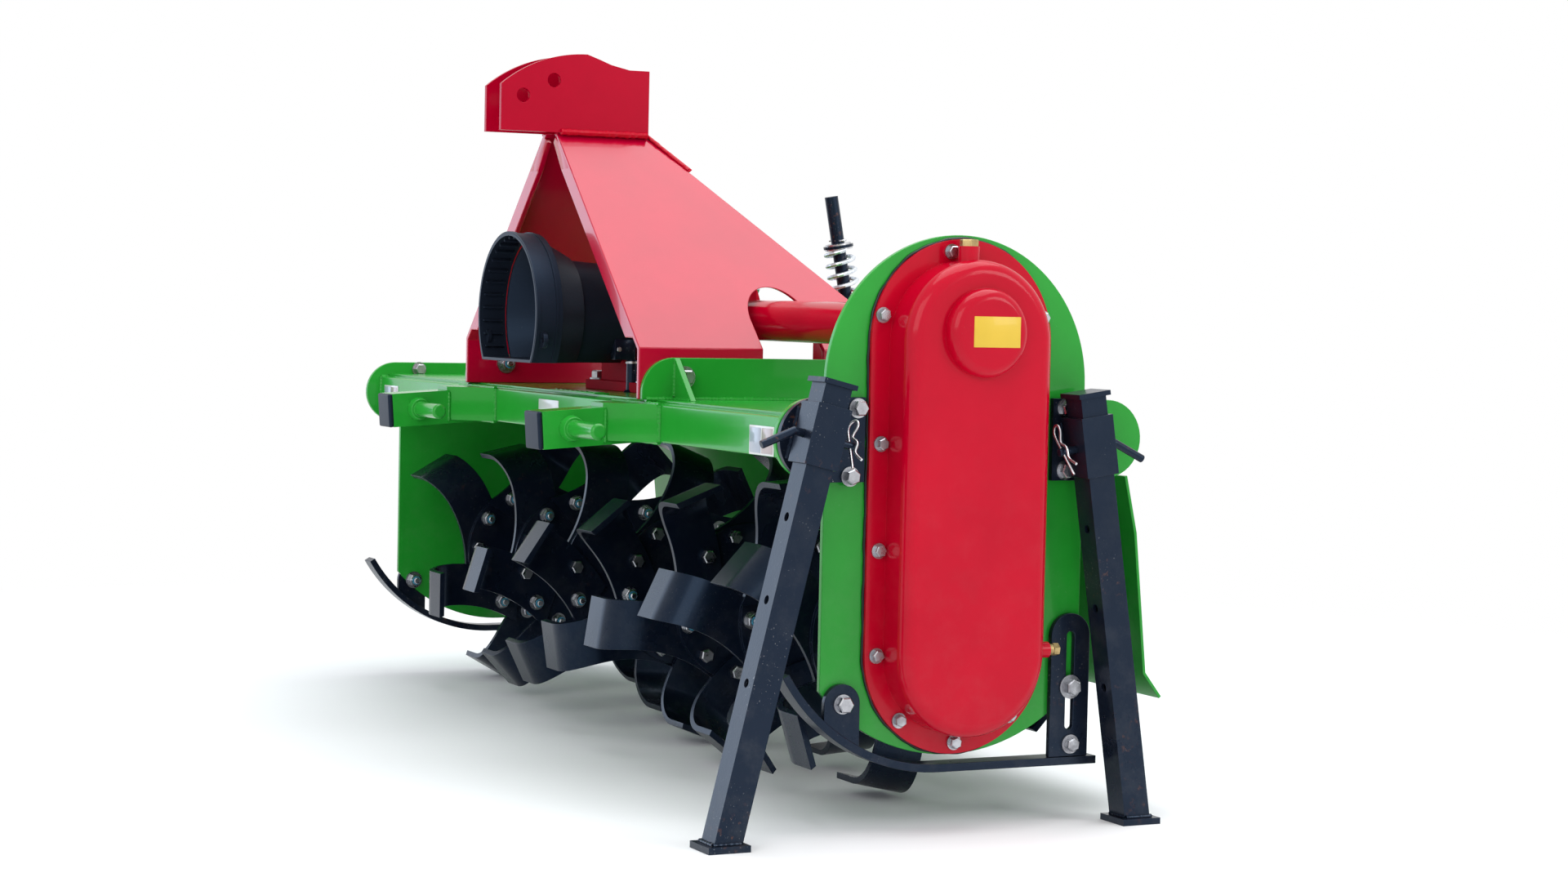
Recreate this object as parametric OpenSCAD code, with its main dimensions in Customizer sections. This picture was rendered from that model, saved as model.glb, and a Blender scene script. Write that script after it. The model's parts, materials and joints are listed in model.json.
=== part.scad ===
// Tractor-mounted rotavator with a side chain case, on its two parking legs.
// X runs across the machine (+X is the chain case side), -Y is the tractor side, Z is up.

/* [Frame] */
// Half of the clear length between the end plates
frame_half = 777; // [760:1:900]
// Side of the square tube of beams and hitch arms
tube = 50; // [46:1:54]
// Wall of the square tube
tube_wall = 5; // [4:0.5:7]
// Distance of the front beam ahead of the rotor axis
front_beam_y = 194; // [188:1:200]
// Distance of the rear beam behind the rotor axis
rear_beam_y = 221; // [217:1:226]
// Height of the beams' centre line
beam_z = 477; // [472:1:482]
// Corner radius of the end plates
end_r = 49; // [45:1:52]
// Thickness of end plates and side plates
side_t = 8; // [6:0.5:8]
// Thickness of the deck
deck_t = 5; // [4:0.5:7]

/* [Side plates] */
// Half width of the side plates
side_half = 181; // [176:1:186]
// Height of the centre of the chain plate's round top
side_top_z = 545; // [540:1:560]
// Radius of the side plates' round bottom
side_bottom_r = 238; // [234:1:242]
// Height of the lowest point of the side plates
side_low_z = 90; // [88:1:94]

/* [Chain cover] */
// Height of the cover's upper arc centre
cover_up_z = 596; // [590:1:602]
// Radius of the cover's flange
cover_flange_r = 125; // [122:1:130]
// Radius of the cover's body
cover_body_r = 100; // [96:1:104]
// Depth of the cover
cover_depth = 58; // [50:1:66]
// Sheet thickness of the cover
cover_t = 4; // [3:0.5:5]
// Edge radius of the cover
cover_round = 18; // [14:1:22]
// Radius of the round boss on the cover
boss_r = 54; // [48:1:60]
// Height of the round boss
boss_h = 20; // [14:1:24]
// Thickness of the sealing bead
bead_t = 3; // [2:0.5:4]

/* [Drive line] */
// Height of the drive shaft and the input shaft
drive_z = 614; // [610:1:622]
// Outside diameter of the drive tube
drive_tube_d = 56; // [50:1:62]
// Width of the gearbox
gearbox_w = 170; // [150:1:200]
// Front face of the gearbox, ahead of the rotor axis
gearbox_front = 128; // [120:1:136]
// Rear face of the gearbox, behind the rotor axis
gearbox_rear = 82; // [70:1:95]
// Top of the gearbox above its shaft
gearbox_top = 96; // [86:1:104]
// Diameter of the input shaft
pto_d = 34.9; // [30:0.1:36]
// Length of the input shaft ahead of the gearbox
pto_len = 100; // [80:1:120]

/* [Input shaft guard] */
// Distance of the guard's mouth ahead of the rotor axis
guard_mouth_y = 290; // [280:1:300]
// Radius of the guard's mouth
guard_r = 116; // [108:1:120]
// Radius of the guard's neck
guard_neck_r = 80; // [74:1:86]
// Flat bottom of the guard below the shaft
guard_flat = 66; // [58:1:72]
// Wall of the guard
guard_wall = 4; // [3:0.5:5]

/* [Three-point hitch] */
// Outer face of the hitch arms, from the middle
arm_out = 333; // [326:1:342]
// Length of the hitch arms ahead of the front beam's centre
arm_len = 168; // [160:1:176]
// Downward slope of the hitch arms
arm_droop = 4; // [2:0.5:6]
// Distance of the hitch pins ahead of the front beam's centre
pin_reach = 128; // [120:1:134]
// Diameter of the lower hitch pins
hitch_pin_d = 22; // [20:0.5:28]
// Length of a hitch pin outside the arm
hitch_pin_len = 96; // [85:1:105]
// Side of the 45 degree knee between arm and beam
knee = 54; // [44:1:60]
// Height of the top link hole above the lower pins
mast = 455; // [450:1:465]
// Diameter of the top link holes
top_hole_d = 20; // [19:0.5:26]
// Gap of the top link clevis
clevis_gap = 52; // [46:1:58]
// Thickness of headstock plates
plate_t = 8; // [6:0.5:10]
// Outer face of the headstock's feet, from the middle
head_foot_x = 337; // [333:1:345]
// Height of the bend above the headstock's feet
head_bend_z = 576; // [572:1:582]
// Height of the headstock plates' top edge
head_top_z = 873; // [868:1:878]
// Front edge of the headstock, ahead of the rotor axis
head_front_y = 229; // [224:1:236]

/* [Rotor] */
// Number of tine discs
gang_n = 7; // [7:1:7]
// Gap between the outer tines' feet and the end plates
tine_clear = 44; // [10:1:60]
// Radius of the rotor tube
rotor_tube_r = 40; // [34:1:46]
// Radius of the tine discs
disc_r = 113; // [110:1:118]
// Thickness of the tine discs
disc_t = 8; // [6:0.5:10]
// Tines on each disc
tine_n = 6; // [6:2:6]
// Thickness of a tine
tine_t = 8; // [6:0.5:9]
// Height of a tine's foot above the rotor axis
tine_flat_r = 196; // [188:1:204]
// Outer bend radius of a tine
tine_bend = 55; // [40:1:60]
// Reach of a tine's foot from its disc
tine_reach = 98; // [85:1:99]
// Width of a tine's curved band
tine_w = 68; // [60:1:72]
// Inner radius of a tine's curved band
tine_inner = 197; // [190:1:206]
// Radius of the rotor's journals
journal_r = 20; // [18:1:22]

/* [Skids] */
// Width of a skid runner
runner_w = 31; // [28:1:31]
// Thickness of a skid runner
runner_t = 10; // [8:0.5:10]
// Height of a runner's underside
runner_z = 70; // [66:1:72]
// Radius of a runner's upswept front
runner_r = 250; // [240:1:260]
// Sweep of a runner's upturned front, in degrees
runner_sweep = 59.3; // [50:0.1:62]
// Distance of a runner's rear end behind the rotor axis
runner_rear = 205; // [198:1:212]

/* [Parking legs] */
// Side of a leg's square tube
leg = 36; // [34:1:40]
// Wall of a leg
leg_wall = 4; // [3:0.5:5]
// Clearance between leg and sleeve
leg_gap = 0.5; // [0.3:0.1:1]
// Wall of a sleeve
sleeve_wall = 4; // [3:0.5:5]
// Centre line of the legs, outside the side plate
leg_off = 43; // [41:1:49]
// Side of a foot plate
foot = 54; // [46:1:56]
// Lean of the front leg
front_lean = 13.8; // [12:0.1:15]
// Lean of the rear leg
rear_lean = 8.7; // [7:0.1:10]
// Foot of the front leg, ahead of the rotor axis
front_foot_y = 328; // [322:1:334]
// Foot of the rear leg, behind the rotor axis
rear_foot_y = 237; // [233:1:241]
// Length of a leg's sleeve
sleeve_len = 74; // [66:1:84]
// Length of leg that stands out above its sleeve
leg_over = 24; // [16:1:40]

/* [Tailboard] */
// Hinge line behind the rotor axis
tail_hinge_y = 257; // [256:1:262]
// Hinge line's height
tail_hinge_z = 444; // [440:1:446]
// Thickness of the tailboard
tail_t = 4; // [3:0.5:5]
// Diameter of the hinge pins
hinge_pin_d = 10; // [8:0.5:11]
// Outside radius of the hinge tubes
hinge_r = 10; // [9:0.5:11]
// Diameter of the tailboard's rod
rod_d = 20; // [16:0.5:20]
// Length of the tailboard's rod
rod_len = 477; // [470:1:485]
// Wire of the tailboard's spring
spring_wire = 6.5; // [5:0.5:7]

/* [Hidden] */
$fn = 64;

green = [0.10, 0.55, 0.12];
red = [0.72, 0.03, 0.10];
black = [0.05, 0.05, 0.07];
steel = [0.70, 0.72, 0.74];
brass = [0.75, 0.60, 0.25];
eps = 0.01;

// Side plates stand outside the end plates
side_in = frame_half + side_t;
side_out = side_in + side_t;
deck_z = beam_z + tube / 2;
deck_top = deck_z + deck_t;

// Tine feet: the tip is the inner end of the curved band at the height of the foot
tine_centre_r = 135;
tine_outer = tine_inner + tine_w;
tine_set = 85;
tine_centre_t = tine_inner + tine_set;
tine_root = 30;
tip_t = tine_centre_t - sqrt(tine_inner * tine_inner - pow(tine_flat_r - tine_centre_r, 2));
tip_r = sqrt(tine_flat_r * tine_flat_r + tip_t * tip_t);
tip_angle = atan2(tip_t, tine_flat_r);
tine_step = 360 / tine_n;
// All tips stand evenly round the rotor; from disc to disc they go on by two of these steps
tip_step = tine_step / gang_n;
scroll = -2 * tip_step;
// The discs share the length that the outer feet leave free
tine_sink = 1;
gang_pitch = 2 * (frame_half - tine_clear - tine_reach - disc_t / 2 + tine_sink) / (gang_n - 1);
// The two lowest feet, of the first and the middle disc, stand on the ground half a step each side
rotor_z = tip_r * cos(tip_step / 2);
first_gang_turn = 180 - tip_angle - tip_step / 2 - tine_step;
running = 0.05;

// Leg frames: a leg's own Z runs up the leg from the centre of its foot
foot_t = 8;
leg_cap_h = 6;
sleeve = leg + 2 * leg_gap + 2 * sleeve_wall;
leg_x = side_out + leg_off;
// The sleeves sit on their brackets beside the beams, the front one a little higher
front_sleeve_up = 6.5;
rear_sleeve_up = -5.5;
front_leg_len = (beam_z + front_sleeve_up) / cos(front_lean) + sleeve_len / 2 + leg_over;
rear_leg_len = (beam_z + rear_sleeve_up) / cos(rear_lean) + sleeve_len / 2 + leg_over;
function sleeve_low(len) = len - leg_over - sleeve_len;
leg_pin_d = 10;
leg_pin_up = 35;
function leg_pin_at(len) = sleeve_low(len) + leg_pin_up;
bracket_t = 8;
// Edge of the stand brackets beside the chain cover's sealing bead
bracket_inner = cover_flange_r + 6;
rear_bracket_w = 72;

// Tailboard rod: a lug on the tailboard carries its lower end
rod_lug_y = 310;
rod_lug_z = 330;
rod_ear_r = 16;
rod_lean = 10.6;
rod_over = 157;
guide_up = rod_len - rod_over;

// Leaning headstock plates
head_top_x = clevis_gap / 2;
head_slope = atan2(head_top_z - head_bend_z, head_foot_x - head_top_x);
head_top_rear = 93;
head_foot_rear = 184;
head_lip = 26;
notch_half = 46;

// Box of the whole machine, which puts the origin under its middle
box_right = side_out + bead_t + cover_depth + boss_h;
box_left = side_out + 22;
box_front = front_beam_y + (arm_len + 7) * cos(arm_droop) + tube / 2 * sin(arm_droop);
box_rear = rod_lug_y + rod_ear_r;
shift_x = (box_right - box_left) / 2;
shift_y = (box_rear - box_front) / 2;

module placed() {
    translate([-shift_x, -shift_y, 0]) children();
}

// Square tube along X between two positions
module tube_x(x0, x1, y, z) {
    translate([x0, y, z]) rotate([90, 0, 90]) linear_extrude(height = x1 - x0) difference() {
        square(tube, center = true);
        square(tube - 2 * tube_wall, center = true);
    }
}

// Plate in the plane of Y and Z: its outline is drawn with Y across and Z up
module plate_yz(x0, t) {
    translate([x0, 0, 0]) rotate([90, 0, 90]) linear_extrude(height = t) children();
}

// Region of a round-cornered wall profile, drawn with the radius across and the depth up
module round_step(r, h, f) {
    square([r - f, h]);
    square([r, h - f]);
    translate([r - f, h - f]) circle(f);
}

module front_beam() {
    color(green) tube_x(-frame_half, frame_half, -front_beam_y, beam_z);
}

module rear_beam() {
    color(green) tube_x(-frame_half, frame_half, rear_beam_y, beam_z);
}

module deck() {
    color(green) translate([-frame_half, -front_beam_y - tube / 4, deck_z])
        cube([2 * frame_half, front_beam_y + rear_beam_y + tube / 2, deck_t]);
}

module end_outline() {
    translate([-front_beam_y, beam_z]) circle(end_r);
    translate([rear_beam_y, beam_z]) circle(end_r);
    translate([-front_beam_y, beam_z - end_r]) square([front_beam_y + rear_beam_y, 2 * end_r]);
}

module end_plates() {
    color(green) {
        plate_yz(frame_half, side_t) end_outline();
        plate_yz(-side_in, side_t) difference() {
            end_outline();
        }
    }
}

// Lower part of both side plates, with the round bottom
module side_low_outline(top) {
    bottom_z = side_low_z + side_bottom_r;
    translate([-side_half, bottom_z]) square([2 * side_half, top - bottom_z]);
    intersection() {
        translate([-side_half, side_low_z - 1]) square([2 * side_half, side_bottom_r + 2]);
        translate([0, bottom_z]) circle(side_bottom_r);
    }
}

module chain_plate() {
    color(green) plate_yz(side_in, side_t) difference() {
        union() {
            side_low_outline(side_top_z);
            translate([0, side_top_z]) circle(side_half);
        }
        translate([0, rotor_z]) circle(journal_r + running);
    }
}

module side_plate_right() {
    color(green) plate_yz(-side_out, side_t) difference() {
        side_low_outline(beam_z + end_r);
        translate([0, rotor_z]) circle(journal_r + 4);
    }
}

// Hitch arm with its 45 degree knees, in the frame of its centre line
module hitch_arm(x) {
    translate([x, -front_beam_y, beam_z]) difference() {
        union() {
            rotate([arm_droop, 0, 0]) translate([-tube / 2, -arm_len, -tube / 2])
                cube([tube, arm_len - tube / 2, tube]);
            translate([0, 0, -tube / 2]) linear_extrude(height = tube)
                polygon([[-tube / 2 - knee, -tube / 2 + 1], [tube / 2 + knee, -tube / 2 + 1],
                         [tube / 2 - 4, -tube / 2 - knee - 3], [4 - tube / 2, -tube / 2 - knee - 3]]);
        }
        // The tube's hollow, open at the front under the cap
        rotate([arm_droop, 0, 0]) translate([-tube / 2 + tube_wall, -arm_len - 1, -tube / 2 + tube_wall])
            cube([tube - 2 * tube_wall, arm_len - tube, tube - 2 * tube_wall]);
        // Hole of the hitch pin
        rotate([arm_droop, 0, 0]) translate([-tube, -pin_reach, 0]) rotate([0, 90, 0])
            cylinder(d = hitch_pin_d + 0.4, h = 2 * tube);
        // Room behind the front beam's face
        translate([-arm_out, -tube / 2, -tube]) cube([2 * arm_out, tube, 2 * tube]);
    }
}

arm_x = arm_out - tube / 2;

module hitch_arm_left() {
    color(green) hitch_arm(arm_x);
}

module hitch_arm_right() {
    color(green) hitch_arm(-arm_x);
}

// Pin through an arm, with a weld collar on each face
module hitch_pin(x) {
    collar_d = 36;
    collar_h = 12;
    chamfer = 3;
    translate([x, -front_beam_y, beam_z]) rotate([arm_droop, 0, 0]) translate([0, -pin_reach, 0]) rotate([0, 90, 0]) {
        reach = tube / 2 + hitch_pin_len;
        translate([0, 0, -reach + chamfer]) cylinder(d = hitch_pin_d, h = 2 * reach - 2 * chamfer);
        for (s = [0, 1]) mirror([0, 0, s]) {
            translate([0, 0, tube / 2]) cylinder(d1 = collar_d, d2 = collar_d - 6, h = collar_h);
            translate([0, 0, reach - chamfer])
                cylinder(d1 = hitch_pin_d, d2 = hitch_pin_d - 2 * chamfer, h = chamfer);
        }
    }
}

module hitch_pin_left() {
    color(green) hitch_pin(arm_x);
}

module hitch_pin_right() {
    color(green) hitch_pin(-arm_x);
}

// Plastic plugs in the arms' front ends
module arm_caps() {
    cap_t = 7;
    plug = 14;
    color(black) for (x = [-arm_x, arm_x])
        translate([x, -front_beam_y, beam_z]) rotate([arm_droop, 0, 0]) translate([0, -arm_len, 0]) {
            translate([-tube / 2, -cap_t, -tube / 2]) cube([tube, cap_t, tube]);
            inner = tube - 2 * tube_wall - 0.4;
            translate([-inner / 2, -eps, -inner / 2]) cube([inner, plug, inner]);
        }
}

bracket_top = 563;
bracket_round = 46;
bracket_front = 227;

// Upright green plate beside a headstock foot, with a gusset at each end
module headstock_bracket() {
    rear = rear_beam_y + tube / 2;
    gusset = 56;
    plate_yz(head_foot_x, plate_t) intersection() {
        translate([-bracket_front, deck_top]) square([bracket_front + rear, bracket_top - deck_top]);
        union() {
            translate([-bracket_front, 0]) square([bracket_front + rear, bracket_top - bracket_round]);
            translate([bracket_round - bracket_front, 0])
                square([bracket_front + rear - 2 * bracket_round, bracket_top]);
            translate([bracket_round - bracket_front, bracket_top - bracket_round]) circle(bracket_round);
            translate([rear - bracket_round, bracket_top - bracket_round]) circle(bracket_round);
        }
    }
    for (y = [bracket_round - bracket_front, rear - bracket_round - plate_t])
        translate([head_foot_x + plate_t, y + plate_t, deck_top]) rotate([90, 0, 0])
            linear_extrude(height = plate_t) polygon([[0, 0], [gusset, 0], [0, gusset]]);
}

module headstock_bracket_left() {
    color(green) headstock_bracket();
}

module headstock_bracket_right() {
    color(green) mirror([1, 0, 0]) headstock_bracket();
}

// Point of the leaning plate's section: a depth under its outer face, at a height
function lean_x(depth, z) = head_foot_x - depth / sin(head_slope)
    - (z - head_bend_z) * (head_foot_x - head_top_x) / (head_top_z - head_bend_z);
bend_inner_z = head_bend_z - plate_t * tan(45 - head_slope / 2);
// Run of the rear edge for each millimetre of its height
head_back = (head_foot_rear + head_top_rear) / (head_top_z - head_bend_z);

// Bent headstock plate: a vertical foot, a leaning face, a lip along its front edge and the drive tube's notch
module headstock_plate() {
    length = head_front_y + head_foot_rear;
    lip_low = head_bend_z + 12;
    lip_high = head_top_z - 40;
    difference() {
        union() {
            translate([0, head_foot_rear, 0]) rotate([90, 0, 0]) linear_extrude(height = length)
                polygon([[head_foot_x, deck_top], [head_foot_x, head_bend_z], [head_top_x, head_top_z],
                         [lean_x(plate_t, head_top_z), head_top_z], [head_foot_x - plate_t, bend_inner_z],
                         [head_foot_x - plate_t, deck_top]]);
            translate([0, plate_t - head_front_y, 0]) rotate([90, 0, 0]) linear_extrude(height = plate_t)
                polygon([[lean_x(plate_t / 2, lip_low), lip_low], [lean_x(plate_t / 2, lip_high), lip_high],
                         [lean_x(head_lip, lip_high - head_lip / 2), lip_high - head_lip / 2],
                         [lean_x(head_lip, lip_low), lip_low]]);
        }
        // The rear edge slopes from the foot to the top
        translate([-head_foot_x, 0, 0]) plate_yz(0, 3 * head_foot_x)
            polygon([[head_foot_rear, head_bend_z], [head_foot_rear + 10, head_bend_z],
                     [head_foot_rear + 10, head_top_z + 10], [-head_top_rear - 10 * head_back, head_top_z + 10]]);
        plate_yz(0, 2 * head_foot_x) {
            translate([0, drive_z]) circle(notch_half);
            translate([-notch_half, bracket_top - 16]) square([2 * notch_half, drive_z - bracket_top + 16]);
        }
    }
}

module headstock_plate_left() {
    color(red) headstock_plate();
}

module headstock_plate_right() {
    color(red) mirror([1, 0, 0]) headstock_plate();
}

// Strip that closes the headstock's back near its top, along the sloping rear edges
module headstock_tie() {
    drop = 51;
    tie_t = 6;
    wide = (head_foot_x - head_top_x) / (head_top_z - head_bend_z);
    top_gap = 2;
    length = drop * sqrt(1 + head_back * head_back);
    color(red) translate([0, -head_top_rear, head_top_z]) rotate([-atan2(1, head_back), 0, 0])
        linear_extrude(height = tie_t) polygon([[-head_top_x, top_gap], [head_top_x, top_gap],
            [head_top_x + drop * wide, length], [-head_top_x - drop * wide, length]]);
}

lower_pin_z = beam_z - pin_reach * sin(arm_droop);
top_hole_z = lower_pin_z + mast;
top_hole_y = -283;
second_hole = [46, 23];

// The two plates of the top link clevis, welded on the headstock's top edge
module top_link_plates() {
    nose = 33;
    crest_y = 96;
    crest_up = 62;
    crest_r = 200;
    tail_up = 43;
    tail_run = 31;
    ease = 28;
    ease_up = 6;
    sink = 12;
    front = nose - top_hole_y;
    rear = head_top_rear - 2;
    low = head_top_z - sink;
    back_top = top_hole_z + tail_up;
    crest = [top_hole_y + crest_y, top_hole_z + crest_up - crest_r];
    color(red) for (s = [0, 1]) mirror([s, 0, 0]) plate_yz(clevis_gap / 2, plate_t) difference() {
        intersection() {
            translate([-front, head_top_z]) square([front - rear, crest_r]);
            union() {
                intersection() {
                    translate(crest) circle(crest_r);
                    translate([-front, low]) square([front + crest[0], crest_r]);
                }
                polygon([[crest[0] - 1, low], [-rear, low], [-rear, back_top], [-rear - tail_run, back_top],
                         [-rear - tail_run - ease, back_top + ease_up],
                         [crest[0] + 3 * ease_up, crest[1] + crest_r - ease_up],
                         [crest[0], crest[1] + crest_r], [crest[0] - 1, crest[1] + crest_r]]);
            }
        }
        translate([top_hole_y, top_hole_z]) circle(d = top_hole_d);
        translate([top_hole_y + second_hole[0], top_hole_z + second_hole[1]]) circle(d = top_hole_d);
    }
}

// Bevel gearbox, closed: a ribbed block on a foot plate, with round necks for its shafts
module gearbox() {
    half = gearbox_w / 2;
    neck_r = 62;
    neck = 14;
    body_drop = 84;
    body_low = drive_z - body_drop;
    color(red) difference() {
        union() {
            translate([-half + neck, -gearbox_front + neck, deck_top])
                cube([gearbox_w - 2 * neck, gearbox_front + gearbox_rear - 2 * neck, drive_z + gearbox_top - deck_top - 12]);
            translate([-half + neck + 12, -gearbox_front + neck + 12, drive_z])
                cube([gearbox_w - 2 * neck - 24, gearbox_front + gearbox_rear - 2 * neck - 24, gearbox_top]);
            translate([-half - 12, -gearbox_front, deck_top])
                cube([gearbox_w + 24, gearbox_front + gearbox_rear, 14]);
            translate([-half, 0, drive_z]) rotate([0, 90, 0]) cylinder(r = neck_r, h = gearbox_w);
            translate([0, gearbox_rear, drive_z]) rotate([90, 0, 0]) cylinder(r = neck_r, h = gearbox_front + gearbox_rear);
            for (y = [-60, 60]) translate([-half + 3, y - 5, body_low]) cube([gearbox_w - 6, 10, 84]);
        }
        translate([0, -gearbox_front + 40, drive_z]) rotate([90, 0, 0]) cylinder(d = pto_d + 2 * running, h = 50);
    }
}

// Tube round the drive shaft, with a bolting flange at each end
module drive_tube() {
    flange_r = 55;
    flange_t = 10;
    start = gearbox_w / 2;
    color(red) translate([start, 0, drive_z]) rotate([0, 90, 0]) {
        cylinder(d = drive_tube_d, h = side_in - start);
        cylinder(r = flange_r, h = flange_t);
        translate([0, 0, side_in - start - flange_t]) cylinder(r = flange_r, h = flange_t);
    }
}

// Six-spline input shaft, with the groove that locks a driveline
module input_shaft() {
    seat = 38;
    root_d = pto_d - 5;
    spline_w = 8.7;
    spline_len = 76;
    groove = 6;
    groove_at = 25;
    color(steel) translate([0, -gearbox_front + seat, drive_z]) rotate([90, 0, 0]) {
        cylinder(d = pto_d, h = seat + pto_len - spline_len);
        translate([0, 0, seat + pto_len - spline_len]) {
            cylinder(d = root_d, h = spline_len);
            difference() {
                intersection() {
                    cylinder(d = pto_d, h = spline_len);
                    union() {
                        for (a = [0 : 60 : 120]) rotate(a) translate([-pto_d, -spline_w / 2, 0])
                            cube([2 * pto_d, spline_w, spline_len]);
                    }
                }
                translate([0, 0, spline_len - groove_at - groove]) difference() {
                    cylinder(d = 2 * pto_d, h = groove);
                    cylinder(d = root_d, h = groove);
                }
            }
        }
    }
}

// Half profile of the guard: the radius across, the distance behind the mouth up
module guard_profile(grow) {
    depth = guard_mouth_y - gearbox_front;
    band = 40;
    cone = 84;
    polygon([[0, 0], [guard_r + grow, 0], [guard_r + grow, band], [guard_r - 7 + grow, band],
             [guard_neck_r + 6 + grow, cone], [guard_neck_r + grow, cone], [guard_neck_r - 6 + grow, depth], [0, depth]]);
}

// The guard's back wall lies on the gearbox's front neck
guard_hole_r = 34;

// Solid of the guard's outside or inside, cut flat below
module guard_form(grow) {
    flat = guard_flat + grow;
    intersection() {
        rotate_extrude() guard_profile(grow);
        translate([-2 * guard_r, -flat, -1]) cube([4 * guard_r, 3 * guard_r, guard_mouth_y]);
    }
}

// Bell-shaped plastic guard round the input shaft
module input_guard() {
    depth = guard_mouth_y - gearbox_front;
    ear_r = 11;
    color(black) translate([0, -guard_mouth_y, drive_z]) rotate([-90, 0, 0]) mirror([0, 1, 0]) {
        difference() {
            guard_form(0);
            intersection() {
                guard_form(-guard_wall);
                cube([4 * guard_r, 4 * guard_r, 2 * (depth - guard_wall)], center = true);
            }
            translate([0, 0, depth - 2 * guard_wall]) cylinder(r = guard_hole_r, h = 3 * guard_wall);
            translate([0, 0, -1]) intersection() {
                cylinder(r = guard_r - guard_wall, h = 3);
                translate([-2 * guard_r, -guard_flat + guard_wall, 0]) cube([4 * guard_r, 3 * guard_r, 3]);
            }
        }
        for (s = [-1, 1]) translate([s * (guard_r - 4), -34, 10]) difference() {
            cylinder(r = ear_r, h = 6);
            translate([s * 4, 0, -1]) cylinder(d = 8, h = 8);
        }
    }
}

rotor_case_z = rotor_z;

// Obround of a given radius between the two chain wheels' centres
module case_outline(r) {
    translate([0, cover_up_z]) circle(r);
    translate([0, rotor_case_z]) circle(r);
    translate([-r, rotor_case_z]) square([2 * r, cover_up_z - rotor_case_z]);
}

// Black sealing bead between the chain plate and the cover
module sealing_bead() {
    color(black) plate_yz(side_out, bead_t) difference() {
        case_outline(cover_flange_r + 1.5);
        case_outline(cover_body_r - cover_t);
    }
}

// Obround dish: half turns of a wall profile at both ends, joined by straight walls
module case_dish(r, h, f) {
    span = cover_up_z - rotor_case_z;
    translate([side_out + bead_t, 0, rotor_case_z]) rotate([90, 0, 90]) {
        translate([0, span, 0]) rotate_extrude() round_step(r, h, f);
        rotate_extrude() round_step(r, h, f);
        translate([0, span, 0]) rotate([90, 0, 0]) linear_extrude(height = span) {
            round_step(r, h, f);
            mirror([1, 0]) round_step(r, h, f);
        }
    }
}

neck_x = side_out + bead_t + cover_depth / 2;
neck_y = -8;
neck_r = 13;
neck_top = cover_up_z + cover_body_r + 16;
level_z = 219;
level_r = 10;
level_reach = cover_body_r + 16;

// Pressed chain cover with its round boss, filler neck and level boss
module chain_cover() {
    flange_t = 5;
    boss_round = 15;
    face_x = side_out + bead_t + cover_depth;
    color(red) difference() {
        union() {
            plate_yz(side_out + bead_t, flange_t) case_outline(cover_flange_r);
            case_dish(cover_body_r, cover_depth, cover_round);
            translate([face_x - cover_t, 0, drive_z - 6]) rotate([0, 90, 0]) rotate_extrude()
                round_step(boss_r, boss_h + cover_t, boss_round);
            translate([neck_x, neck_y, cover_up_z + cover_body_r - 12]) cylinder(r = neck_r, h = neck_top - cover_up_z - cover_body_r + 12);
            translate([neck_x, level_reach, level_z]) rotate([90, 0, 0]) cylinder(r = level_r, h = 28);
        }
        translate([-eps, 0, 0]) case_dish(cover_body_r - cover_t, cover_depth - cover_t, cover_round - cover_t);
        translate([face_x - 2 * cover_t, 0, drive_z - 6]) rotate([0, 90, 0]) rotate_extrude()
            round_step(boss_r - cover_t, boss_h + cover_t, boss_round - cover_t);
    }
}

// Brass plugs in the filler neck and the level boss
module oil_plugs() {
    plug_h = 7;
    color(brass) {
        translate([neck_x, neck_y, neck_top]) cylinder(r = neck_r - 3, h = plug_h);
        translate([neck_x, level_reach + plug_h, level_z]) rotate([90, 0, 0]) cylinder(r = level_r - 3, h = plug_h);
    }
}

runner_flat = -20;
lug_y = -154;
lug_z = 159;
lug_r = 24;
adjuster_y = 165;
adjuster_half = 28;

// Upswept skid runner under a side plate, with the lug of its front bolt
module skid() {
    bend_z = runner_z + runner_r;
    sweep = runner_sweep;
    outer = side_out + 10;
    plate_yz(outer - runner_w, runner_w) {
        translate([runner_flat, runner_z]) square([runner_rear - runner_flat, runner_t]);
        intersection() {
            translate([runner_flat, bend_z]) difference() {
                circle(runner_r);
                circle(runner_r - runner_t);
            }
            translate([runner_flat, bend_z]) polygon([[0, 0], [0, -2 * runner_r],
                [-2 * runner_r * sin(sweep), -2 * runner_r * cos(sweep)]]);
        }
    }
    plate_yz(side_out, bracket_t) {
        translate([lug_y, lug_z]) circle(lug_r);
        intersection() {
            translate([lug_y - lug_r, runner_z]) square([2 * lug_r, lug_z - runner_z]);
            translate([runner_flat, bend_z]) circle(runner_r - runner_t / 2);
        }
    }
}

module skid_left() {
    color(black) skid();
}

module skid_right() {
    color(black) mirror([1, 0, 0]) skid();
}

// Slotted uprights that set the skids' height at the rear
module skid_adjusters() {
    low = runner_z + runner_t;
    top_z = 232;
    slot_r = 5.5;
    slot_low = 120;
    color(black) for (s = [0, 1]) mirror([s, 0, 0]) plate_yz(side_out, bracket_t) difference() {
        union() {
            translate([adjuster_y - adjuster_half, low]) square([2 * adjuster_half, top_z - low]);
            translate([adjuster_y, top_z]) circle(adjuster_half);
        }
        translate([adjuster_y - slot_r, slot_low]) square([2 * slot_r, top_z - slot_low]);
        translate([adjuster_y, top_z]) circle(slot_r);
        translate([adjuster_y, slot_low]) circle(slot_r);
    }
}

// Frame of a leg: the origin under the middle of its foot, Z up the leg
module leg_frame(y, lean) {
    translate([leg_x, y, 0]) rotate([-lean, 0, 0]) children();
}

module front_leg_frame() {
    leg_frame(-front_foot_y, front_lean) children();
}

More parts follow.
